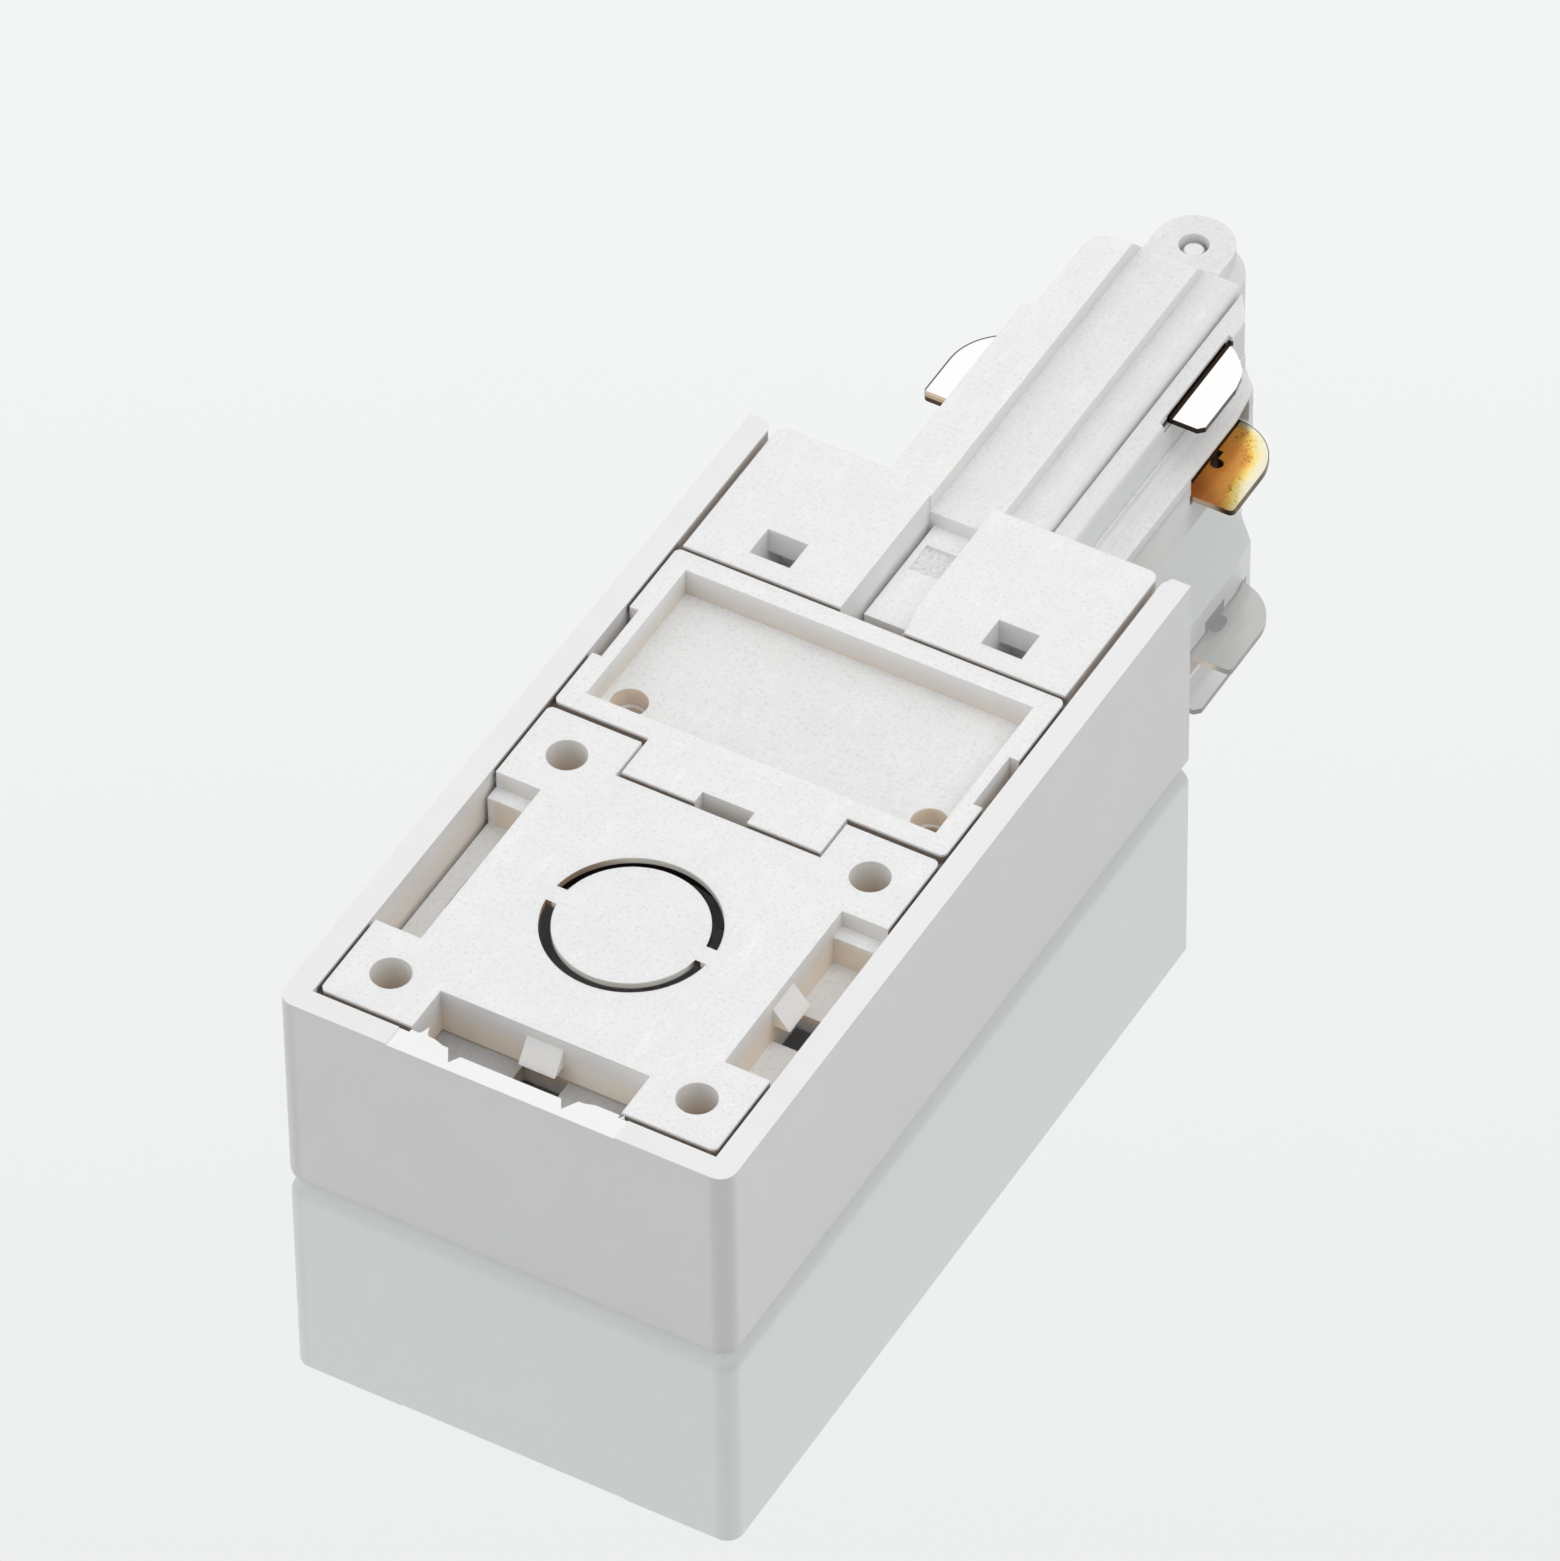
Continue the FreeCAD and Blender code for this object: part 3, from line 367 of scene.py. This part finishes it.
def moulding_material(name, depth, extra=None):
    """Off-white moulded plastic: speckled flats that painted shade dims with depth, painted warm shade on
    its deep inner walls, painted light on its undersides.
    """
    mat, tree, shader = new_material(name)
    at, x, y, z, up = place(tree)
    flat = span(tree, up, 0.75, 0.98)
    wall = wall_share(tree, up)
    grain = use_group(tree, SPECKLE, Position=at, Depth=depth)
    base = mix(tree, 1.0, WHITE, grain["Cloud"], "MULTIPLY")
    base = tint(tree, base, flat, grain["Flow"])
    base = tint(tree, base, calc(tree, "MULTIPLY_ADD", flat, 0.8, 0.2), grain["Dots"])
    # painted shade: flats darken the deeper they lie below the open back's face
    sunk = calc(tree, "DIVIDE", calc(tree, "SUBTRACT", TOP, z), 5.0, clamp=True)
    dim = ramp(tree, sunk, [(0.0, grey(1.0)), (0.29, grey(0.945)), (0.46, grey(0.93)), (0.68, grey(0.90)),
                            (1.0, grey(0.97))])
    base = tint(tree, base, flat, dim)
    # painted warm shade on the inner walls below the face, warmer further down
    inner = both(tree, wall, span(tree, z, TOP - 0.1, TOP - 1.8), span(tree, z, TOP - 5.0, TOP - 4.2),
                 under(tree, calc(tree, "ABSOLUTE", x), INNER_SIDE), under(tree, y, BLOCK_FRONT[0]))
    base = tint(tree, base, inner, (0.925, 0.885, 0.83))
    deeper = both(tree, inner, span(tree, z, TOP - 1.4, TOP - 2.8))
    base = tint(tree, base, deeper, (1.08, 0.985, 0.895))
    # painted light: faces that look down are lightened
    base = tint(tree, base, under(tree, up, -0.6), grey(1.12))
    base = cover_gaps(tree, base, x, y, z, wall)
    if extra:
        base = extra(tree, base, (x, y, z), flat, wall, grain["Relief"])
    tree.links.new(base, shader.inputs["Base Color"])
    tree.links.new(grain["Roughness"], shader.inputs["Roughness"])
    bump(tree, shader, grain["Relief"], 0.5, 0.00004)
    shader.inputs["Subsurface Weight"].default_value = 0.45
    shader.inputs["Subsurface Radius"].default_value = (1.0, 0.85, 0.7)
    shader.inputs["Subsurface Scale"].default_value = 0.0008
    return mat


def plate_shade(tree, base, spot, flat, wall, _):
    """Base plate: painted shade greying the near pocket's floor and low walls, painted light on its upper
    walls, and the knock-out's ring slot.
    """
    x, y, z = spot
    pocket = both(tree, within(tree, x, *POCKET_X), under(tree, y, POCKET_Y))
    # painted shade greying the pocket's floor
    base = tint(tree, base, both(tree, pocket, flat, under(tree, z, POCKET_LOW)), grey(0.58))
    pocket_wall = both(tree, pocket, wall, under(tree, z, POCKET_EDGE))
    # painted light on the pocket's walls
    wall_light = mix(tree, span(tree, x, *POCKET_FADE), (1.18, 1.215, 1.26), (0.97, 0.99, 1.01))
    base = tint(tree, base, pocket_wall, wall_light)
    # painted shade on the walls below the seam
    base = tint(tree, base, both(tree, pocket_wall, under(tree, z, POCKET_SEAM)), (0.62, 0.58, 0.54))
    return ring_slot(tree, base, spot, wall)


def ring_slot(tree, base, spot, wall):
    """Knock-out's ring slot: walls lightened by painted light, painted shade dark at the disc's right, brown
    at the outer side's left, over a painted black shadow on its ground."""
    x, y, z = spot
    v = calc(tree, "SUBTRACT", y, RING_Y)
    r = calc(tree, "SQRT", calc(tree, "ADD", square(tree, x), square(tree, v)))
    rim = both(tree, wall, within(tree, r, *RING))
    right = both(tree, span(tree, calc(tree, "DIVIDE", v, r), -0.32, -0.1), over(tree, x, 0.0))
    left = span(tree, calc(tree, "DIVIDE", x, r), -0.45, -0.9)
    disc_side = under(tree, r, RING_MID)
    outer_side = opposite(tree, disc_side)
    # painted light on the slot's walls
    base = tint(tree, base, rim, (1.10, 1.05, 0.98))
    # painted shade on the disc's right side
    base = tint(tree, base, both(tree, rim, disc_side, right), (0.07, 0.05, 0.04))
    base = tint(tree, base, both(tree, rim, outer_side, left), (0.46, 0.36, 0.28))
    brown = both(tree, rim, outer_side, left, over(tree, z, RING_BROWN))
    # painted shadow on the slot's ground
    ground = both(tree, under(tree, z, RING_WALL), under(tree, r, THIN_R), opposite(tree, brown))
    return tint(tree, base, ground, SHADOW)


def channel_and_slot(tree, base, spot, flat, wall, relief):
    """Upper carrier: painted light on the channel floor, its rough patch, and painted shadow in the slot of
    the neutral contact.
    """
    x, y, z = spot
    floor = both(tree, flat, within(tree, x, *CHANNEL_X), within(tree, y, *CHANNEL_Y),
                 under(tree, z, CHANNEL_LOW))
    patch = both(tree, within(tree, x, *PATCH_X), within(tree, y, *PATCH_Y))
    # painted light on the channel floor
    base = tint(tree, base, floor, grey(1.18))
    rough = ramp(tree, relief, [(0.3, grey(0.76)), (0.5, grey(0.87)), (0.7, grey(0.95))])
    base = tint(tree, base, both(tree, floor, patch), rough)
    # painted shadow in the neutral contact's slot
    slot = both(tree, wall, within(tree, x, *SLOT_X), within(tree, y, *SLOT_Y), within(tree, z, *SLOT_Z))
    return tint(tree, base, slot, (0.06, 0.04, 0.028))


def side_shade(tree, base, spot, _, wall, __):
    """Lower carrier mouldings: painted shade greying the outer sides, and painted black shadow where the
    earth contact comes out and under its keyhole.
    """
    x, y, z = spot
    outer = both(tree, wall, over(tree, x, FLANGE_X))
    # painted shade on the outer sides, strongest towards the near end
    base = tint(tree, base, both(tree, outer, span(tree, y, *FLANGE_FADE)), (0.86, 0.84, 0.81))
    mouth = both(tree, outer, within(tree, y, *BLADE_Y), within(tree, z, *MOUTH_Z))
    # painted shadow where the earth contact comes out
    base = tint(tree, base, mouth, (0.12, 0.08, 0.06))
    # painted shadow under the keyhole
    off_x = square(tree, calc(tree, "SUBTRACT", x, SHADE_X))
    off_y = square(tree, calc(tree, "SUBTRACT", y, KEYHOLE[1]))
    under_hole = both(tree, under(tree, calc(tree, "ADD", off_x, off_y), SHADE_R ** 2),
                      within(tree, z, SHADE_LOW, EARTH_LOW))
    return tint(tree, base, under_hole, (0.07, 0.05, 0.035))


def hatch(tree, x, y, pitch):
    """Fine cross-hatch: the product of two sines, their lines at 45 degrees to the casing's edges."""
    turn = 2 * math.pi / pitch / math.sqrt(2)
    first = calc(tree, "SINE", calc(tree, "MULTIPLY", calc(tree, "ADD", x, y), turn))
    second = calc(tree, "SINE", calc(tree, "MULTIPLY", calc(tree, "SUBTRACT", x, y), turn))
    return calc(tree, "MULTIPLY", first, second)


def casing_material():
    """Satin white casing: smooth sides, hatched cut rim, painted warm shade down its inner walls and painted
    shade on its near corners.
    """
    mat, tree, shader = new_material("casing_white")
    at, x, y, z, up = place(tree)
    side = calc(tree, "ABSOLUTE", x)
    wall = wall_share(tree, up)
    cloud = ramp(tree, noise(tree, at, 0.12, 3.0), [(0.35, (0.985, 0.985, 0.987)), (0.65, grey(1.0))])
    base = mix(tree, 1.0, CASE_WHITE, cloud, "MULTIPLY")

    rim = both(tree, span(tree, up, 0.9, 0.99), over(tree, z, TOP - 0.3))
    cut = either(tree, over(tree, side, KNOCK_HALF), over(tree, y, KNOCK_Y))
    lines = hatch(tree, x, y, HATCH_PITCH)
    fade = span(tree, noise(tree, at, 0.45, 2.0), 0.35, 0.6)
    marked = both(tree, rim, cut, calc(tree, "MULTIPLY_ADD", fade, 0.7, 0.3))
    shade = ramp(tree, calc(tree, "MULTIPLY_ADD", lines, 0.5, 0.5),
                 [(0.1, grey(0.93)), (0.5, grey(0.985)), (0.9, grey(1.04))])
    base = tint(tree, base, marked, shade)
    base = tint(tree, base, both(tree, rim, opposite(tree, cut)), grey(1.07))

    inside = both(tree, wall, under(tree, side, CASE_INSIDE + 0.25), over(tree, y, CASE_NEAR))
    # painted warm shade down the inner walls
    deep = both(tree, inside, span(tree, z, TOP - 0.2, TOP - 2.5), span(tree, z, TOP - 9.0, TOP - 5.0))
    base = tint(tree, base, deep, (0.97, 0.92, 0.86))
    covered = either(tree, *[within(tree, y, *stretch) for stretch in COVERED])
    close = both(tree, wall, within(tree, side, CASE_INSIDE - 0.15, CASE_INSIDE + 0.15), covered)
    # painted shade where the inner wall stands close to a cover
    painted_gap = use_group(tree, GAP_SHADE_GROUP, Y=y, Z=z, Where=close)
    base = tint(tree, base, painted_gap["Mask"], painted_gap["Shade"])
    # painted shade on the rounded near corners
    corner = both(tree, wall, span(tree, side, *CORNER_X), span(tree, y, *CORNER_Y))
    base = tint(tree, base, corner, grey(0.90))
    tree.links.new(base, shader.inputs["Base Color"])

    rough = ramp(tree, noise(tree, at, 1.3), [(0.3, grey(0.36)), (0.7, grey(0.44))])
    tree.links.new(rough, shader.inputs["Roughness"])
    bump(tree, shader, mix(tree, marked, noise(tree, at, 5.5, 2.0), lines), 0.12, 0.00003)
    return mat


# Metals

def outline_distance(tree, x, y, tip, y0, y1, r):
    """Distance in from a contact's outline, straight at the side and round at the far corner, and distance
    from its near end."""
    side = calc(tree, "ABSOLUTE", x)
    over_x = calc(tree, "MAXIMUM", calc(tree, "SUBTRACT", side, tip - r), 0.0)
    over_y = calc(tree, "MAXIMUM", calc(tree, "SUBTRACT", y, y1 - r), 0.0)
    reach = calc(tree, "SQRT", calc(tree, "ADD", square(tree, over_x), square(tree, over_y)))
    return calc(tree, "SUBTRACT", r, reach), calc(tree, "SUBTRACT", y, y0)


def metal_material(name, light, dark, rough, stretch=(1.0, 1.0, 1.0), edge=None, finish=None):
    """Rolled sheet with faint tarnish, and a darker sheared edge where one is given."""
    mat, tree, shader = new_material(name)
    at, x, y, z, up = place(tree)
    rolled = use_group(tree, ROLLED, Position=at, Stretch=stretch)
    base = mix(tree, rolled["Stain"], dark, light)
    if edge:
        base = mix(tree, wall_share(tree, up), base, edge)
    if finish:
        base = finish(tree, base, (x, y, z), up)
    tree.links.new(base, shader.inputs["Base Color"])
    shader.inputs["Metallic"].default_value = 1.0
    spread = ramp(tree, rolled["Stain"], [(0.3, grey(rough * 0.8)), (0.7, grey(rough * 1.3))])
    tree.links.new(spread, shader.inputs["Roughness"])
    bump(tree, shader, rolled["Lines"], 0.12, 0.00002)
    return mat


def live_outline(tree, base, spot, up):
    """Thin grey line round the live contact's outer edge, beige strip along its near one."""
    x, y, z = spot
    arc, near = outline_distance(tree, x, y, *LIVE)
    flat = over(tree, up, 0.7)
    base = mix(tree, both(tree, flat, under(tree, arc, 0.14)), base, (0.20, 0.19, 0.18))
    strip = both(tree, flat, under(tree, near, 0.26), under(tree, x, 0.0))
    base = mix(tree, strip, base, (0.62, 0.50, 0.38))
    upper = both(tree, wall_share(tree, up), over(tree, z, LIVE_UPPER), under(tree, near, 0.1))
    return mix(tree, upper, base, (0.50, 0.38, 0.26))


def neutral_root(tree, base, spot, up):
    """Painted shadow: a black line where the neutral contact comes out of the tongue."""
    return mix(tree, both(tree, over(tree, up, 0.7), under(tree, spot[0], NEUTRAL_ROOT)), base, SHEAR_AND_SHADOW)


def brass_stain_and_reflection():
    """Earth contact, partly heat stain and partly painted reflection: brown by the tongue, orange across its
    middle, a yellow bow and a pale outer edge.
    """
    mat, tree, shader = new_material("stained_and_reflecting_brass")
    at, x, y, _, up = place(tree)
    flat = over(tree, up, 0.7)
    wobble = calc(tree, "MULTIPLY_ADD", noise(tree, at, 0.7, 3.0, 0.6), 0.9, -0.55)
    arc, near = outline_distance(tree, x, y, *EARTH)
    far = calc(tree, "MULTIPLY_ADD", span(tree, y, 89.8, 91.5), 1.3, 1.0)
    reach = calc(tree, "SUBTRACT", calc(tree, "ADD", wobble, EARTH[0]), calc(tree, "MULTIPLY", arc, far))
    reach = calc(tree, "SUBTRACT", reach, calc(tree, "MULTIPLY", span(tree, near, 3.0, 0.3), 0.55))
    along = calc(tree, "DIVIDE", calc(tree, "SUBTRACT", reach, BRASS_RAMP_START), BRASS_RAMP_LENGTH, clamp=True)
    base = ramp(tree, along, [(0.0, (0.66, 0.26, 0.050)), (0.40, (0.74, 0.30, 0.055)),
                              (0.62, (0.82, 0.38, 0.070)), (0.70, (0.93, 0.56, 0.12)),
                              (0.77, (0.99, 0.77, 0.25)), (0.87, (0.97, 0.88, 0.55)),
                              (1.0, (0.90, 0.86, 0.72))])
    low_end = span(tree, calc(tree, "MULTIPLY_ADD", x, 0.6, y), 91.6, 89.6)
    base = tint(tree, base, low_end, (0.66, 0.56, 0.6))
    spots = ramp(tree, noise(tree, at, 2.8, 3.0, 0.68), [(0.36, (0.42, 0.32, 0.26)), (0.44, grey(1.0))])
    zone = span(tree, calc(tree, "ABSOLUTE", calc(tree, "SUBTRACT", along, 0.66)), 0.22, 0.06)
    base = tint(tree, base, calc(tree, "MULTIPLY", zone, 0.85), spots)
    base = mix(tree, both(tree, flat, under(tree, arc, 0.08)), base, (0.25, 0.19, 0.13))
    # painted shadow where the earth contact comes out of the tongue
    base = tint(tree, base, both(tree, flat, under(tree, x, EARTH_ROOT)), (0.10, 0.08, 0.07))
    worn = both(tree, under(tree, near, 0.1), span(tree, x, 11.4, 10.4))
    edge = ramp(tree, noise(tree, at, 1.6, 2.0),
                [(0.35, (0.05, 0.032, 0.022)), (0.65, (0.16, 0.10, 0.05))])
    edge = mix(tree, worn, edge, (0.62, 0.47, 0.32))
    base = mix(tree, wall_share(tree, up), base, edge)
    base = mix(tree, under(tree, up, -0.5), base, (0.58, 0.57, 0.54))
    tree.links.new(base, shader.inputs["Base Color"])
    film = ramp(tree, along, [(0.0, grey(0.35)), (0.55, grey(0.45)), (0.70, grey(0.85)), (0.78, grey(1.0))])
    tree.links.new(film, shader.inputs["Metallic"])
    spread = ramp(tree, noise(tree, at, 1.4, 3.0), [(0.3, grey(0.16)), (0.7, grey(0.26))])
    tree.links.new(spread, shader.inputs["Roughness"])
    bump(tree, shader, noise(tree, at, 1.1, 3.0), 0.2, 0.00005)
    return mat


LENGTHWISE = (1.0, 6.0, 1.0)

white = moulding_material("moulding_white", 0.11)
plate_white = moulding_material("plate_white", 0.11, plate_shade)
carrier_white = moulding_material("carrier_white", 0.10, channel_and_slot)
lower_white = moulding_material("lower_white", 0.10, side_shade)
casing_white = casing_material()
live_tin = metal_material("tinned_live", TIN_LIGHT, TIN_DARK, 0.14, LENGTHWISE, (0.07, 0.045, 0.03),
                          live_outline)
neutral_tin = metal_material("tinned_neutral", TIN_LIGHT, TIN_DARK, 0.14, LENGTHWISE, SHEAR_AND_SHADOW, neutral_root)
brass = metal_material("brass_sheet", (0.92, 0.60, 0.20), (0.78, 0.44, 0.12), 0.17, LENGTHWISE)
earth_stain_and_reflection = brass_stain_and_reflection()
steel = metal_material("zinc_steel", grey(0.90), (0.74, 0.74, 0.76), 0.22)
shadow_leaf_metal = metal_material("shadow_leaf_bronze", (0.10, 0.075, 0.055), (0.06, 0.045, 0.035), 0.45)


# Finish of the solids

FINISH = {
    white: ["terminal_lid", "cord_clamp"],
    lower_white: ["carrier_mid", "carrier_bottom"],
    plate_white: ["base_plate"],
    carrier_white: ["carrier_top"],
    casing_white: ["casing"],
    live_tin: ["live_blade"],
    neutral_tin: ["neutral_blade"],
    earth_stain_and_reflection: ["earth_blade"],
    brass: ["live_bar", "neutral_bar", "earth_bar", "live_clamp", "neutral_clamp", "earth_clamp"],
    steel: ["live_screw", "neutral_screw", "earth_screw", "locking_screw", "locking_nut",
            "cord_screw_left", "cord_screw_right"],
}
EDGE_WIDTHS = {"casing": 0.16, "base_plate": 0.12, "terminal_lid": 0.12, "carrier_top": 0.13,
               "carrier_mid": 0.1, "carrier_bottom": 0.1}
SAME_PLANE, HARD_EDGE = math.radians(0.6), math.radians(28)


def soften(obj, width):
    """Rounds the model's hard edges without touching its vertices."""
    flat = obj.modifiers.new("flat", "DECIMATE")
    flat.decimate_type = "DISSOLVE"
    flat.angle_limit = SAME_PLANE
    edge = obj.modifiers.new("edge", "BEVEL")
    edge.width = width * MM
    edge.segments = 3
    edge.limit_method = "ANGLE"
    edge.angle_limit = HARD_EDGE
    edge.harden_normals = False
    for face in obj.data.polygons:
        face.use_smooth = True
    tidy = obj.modifiers.new("normals", "WEIGHTED_NORMAL")
    tidy.keep_sharp = False


for material, names in FINISH.items():
    for name in names:
        obj = nodes[name]
        obj.data.materials.clear()
        obj.data.materials.append(material)

for name, width in EDGE_WIDTHS.items():
    soften(nodes[name], width)


# Small pieces

def closed_skin(name, rows, material, body):
    """Closed surface over a grid of points in millimetres: each row is a ring, and the first and last ring
    are each drawn in to their own middle."""
    count, around, _ = rows.shape
    ends = np.stack([rows[0].mean(0), rows[-1].mean(0)])
    points = (np.concatenate([rows.reshape(-1, 3), ends]) - (0, Y_MID, 0)) * MM
    here = np.arange(around)
    after = (here + 1) % around
    start = np.arange(count - 1)[:, None] * around
    quads = np.stack([start + here, start + after, start + around + after, start + around + here], -1)
    last = (count - 1) * around
    low = np.stack([after, here, np.full(around, count * around)], -1)
    high = np.stack([last + here, last + after, np.full(around, count * around + 1)], -1)
    mesh = bpy.data.meshes.new(name)
    mesh.from_pydata(points.tolist(), [], quads.reshape(-1, 4).tolist() + low.tolist() + high.tolist())
    form = bmesh.new()
    form.from_mesh(mesh)
    bmesh.ops.recalc_face_normals(form, faces=form.faces)
    form.to_mesh(mesh)
    form.free()
    for face in mesh.polygons:
        face.use_smooth = True
    mesh.materials.append(material)
    obj = bpy.data.objects.new(name, mesh)
    scene.collection.objects.link(obj)
    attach(obj, body)


def torn_shape(root, tip, width, thick):
    """Torn sliver: an ellipse carried on a straight line from root to tip. What is left of it falls evenly
    from 1 at the root to 0.1 at the tip. Its half width goes with the power 1.5 of that, with a tenth of
    waviness, and its half thickness in proportion."""
    v, u = np.meshgrid(np.linspace(0, 1, 14), np.linspace(0, 2 * math.pi, 20, endpoint=False), indexing="ij")
    left = 1 - 0.9 * v
    line = np.array(root) + v[..., None] * (np.array(tip) - np.array(root))
    ragged = 1 + 0.10 * np.sin(9 * v + 2 * u)
    half_width = width / 2 * left ** 1.5 * ragged
    half_thick = thick / 2 * left
    return line + np.stack([half_width * np.cos(u), 0 * u, half_thick * np.sin(u)], -1)


def leaf_shape(middle, half, heights):
    """Flat leaf: a superellipse in plan, with the power 0.7 of sine and cosine, and in section, with the
    power 0.35, cut off flat just short of its poles."""
    v, u = np.meshgrid(np.linspace(-0.97, 0.97, 13) * math.pi / 2,
                       np.linspace(0, 2 * math.pi, 32, endpoint=False), indexing="ij")
    low, high = heights
    bulge = np.cos(v) ** 0.35
    round_x = np.sign(np.cos(u)) * np.abs(np.cos(u)) ** 0.7
    round_y = np.sign(np.sin(u)) * np.abs(np.sin(u)) ** 0.7
    rise = np.sign(v) * np.abs(np.sin(v)) ** 0.35
    return np.stack([middle[0] + half[0] * bulge * round_x, middle[1] + half[1] * bulge * round_y,
                     (low + high) / 2 + (high - low) / 2 * rise], -1)


# a dark leaf under the earth contact's keyhole, there to show as shadow through it
LEAF_X, LEAF_HALF = 9.19, (0.44, 0.85)
leaf = leaf_shape((LEAF_X, KEYHOLE[1]), LEAF_HALF, (EARTH_LOW - 0.16, EARTH_LOW - 0.02))
closed_skin("keyhole_shadow_leaf", leaf, shadow_leaf_metal, "carrier")

# Root, tip, width at the root and thickness of each torn piece on the near rim
TORN = {
    "torn_fin": ((-7.32, 1.95, TOP - 0.27), (-7.33, 2.93, TOP - 0.13), 1.05, 0.3),
    "torn_sliver": ((-15.1, 1.62, TOP - 0.13), (-14.35, 1.92, TOP - 0.10), 0.55, 0.18),
    "torn_crumb": ((8.55, 1.95, TOP - 0.28), (8.60, 2.26, TOP - 0.16), 0.5, 0.3),
}
for name, shape in TORN.items():
    closed_skin(name, torn_shape(*shape), casing_white, "shell")


# Floor and light, in metres

FLOOR_HALF, FLOOR_DROP = 1.5, 0.00005
FLOOR_GLOSS, FLOOR_GLOW = 0.66, 0.71
NEAR_SIDE, LEFT_SIDE = (0.60, -0.80), (-0.80, -0.60)   # directions on the ground, east and north


def make_floor():
    """Pale polished table, faintly lit through."""
    r = FLOOR_HALF
    mesh = bpy.data.meshes.new("floor")
    mesh.from_pydata([(-r, -r, 0), (r, -r, 0), (r, r, 0), (-r, r, 0)], [], [(0, 1, 2, 3)])
    floor = bpy.data.objects.new("floor", mesh)
    scene.collection.objects.link(floor)
    floor.location.z = -FLOOR_DROP
    mat = bpy.data.materials.new("polished_table")
    mat.use_nodes = True
    tree = mat.node_tree
    tree.nodes.clear()
    out = tree.nodes.new("ShaderNodeOutputMaterial")
    blend = tree.nodes.new("ShaderNodeMixShader")
    blend.inputs[0].default_value = FLOOR_GLOSS
    glow = tree.nodes.new("ShaderNodeEmission")
    glow.inputs["Color"].default_value = (0.985, 1.0, 0.995, 1)
    glow.inputs["Strength"].default_value = FLOOR_GLOW
    gloss = tree.nodes.new("ShaderNodeBsdfGlossy")
    gloss.inputs["Color"].default_value = (0.955, 0.975, 0.97, 1)
    gloss.inputs["Roughness"].default_value = 0.015
    tree.links.new(glow.outputs[0], blend.inputs[1])
    tree.links.new(gloss.outputs[0], blend.inputs[2])
    tree.links.new(blend.outputs[0], out.inputs[0])
    mesh.materials.append(mat)


def toward_side(tree, east, north, side):
    """How far a direction points to one side, from -1 to 1."""
    return calc(tree, "MULTIPLY_ADD", east, side[0], calc(tree, "MULTIPLY", north, side[1]))


def make_world():
    """Even studio light: full overhead, darker at the horizon and near side, lifted low at the left."""
    world = bpy.data.worlds.new("studio")
    world.use_nodes = True
    tree = world.node_tree
    coord = tree.nodes.new("ShaderNodeTexCoord")
    east, north, high = split(tree, coord.outputs["Generated"])
    sky = ramp(tree, high, [(0.0, grey(0.20)), (0.3, grey(0.48)), (0.62, grey(1.03)), (0.68, grey(1.055)),
                            (0.75, grey(0.96)), (1.0, grey(0.97))])
    near = toward_side(tree, east, north, NEAR_SIDE)
    left = toward_side(tree, east, north, LEFT_SIDE)
    shade = opposite(tree, calc(tree, "MULTIPLY", span(tree, near, 0.5, 0.95), 0.85))
    low_left = both(tree, span(tree, left, 0.1, 0.9), span(tree, high, 0.8, 0.3))
    lift = calc(tree, "MULTIPLY_ADD", low_left, 0.75, 1.0)
    back = tree.nodes["Background"]
    tree.links.new(mix(tree, 1.0, sky, both(tree, shade, lift), "MULTIPLY"), back.inputs["Color"])
    back.inputs["Strength"].default_value = 1.0
    scene.world = world


def area_light(name, spot, aim, size, power):
    data = bpy.data.lights.new(name, "AREA")
    data.size = size
    data.energy = power
    obj = bpy.data.objects.new(name, data)
    obj.visible_glossy = False
    obj.location = spot
    obj.rotation_euler = (Vector(aim) - Vector(spot)).to_track_quat("-Z", "Y").to_euler()
    scene.collection.objects.link(obj)


make_floor()
make_world()
area_light("overhead", spot=(0.5, 0.1, 0.8), aim=(0, 0, 0), size=0.5, power=1.6)
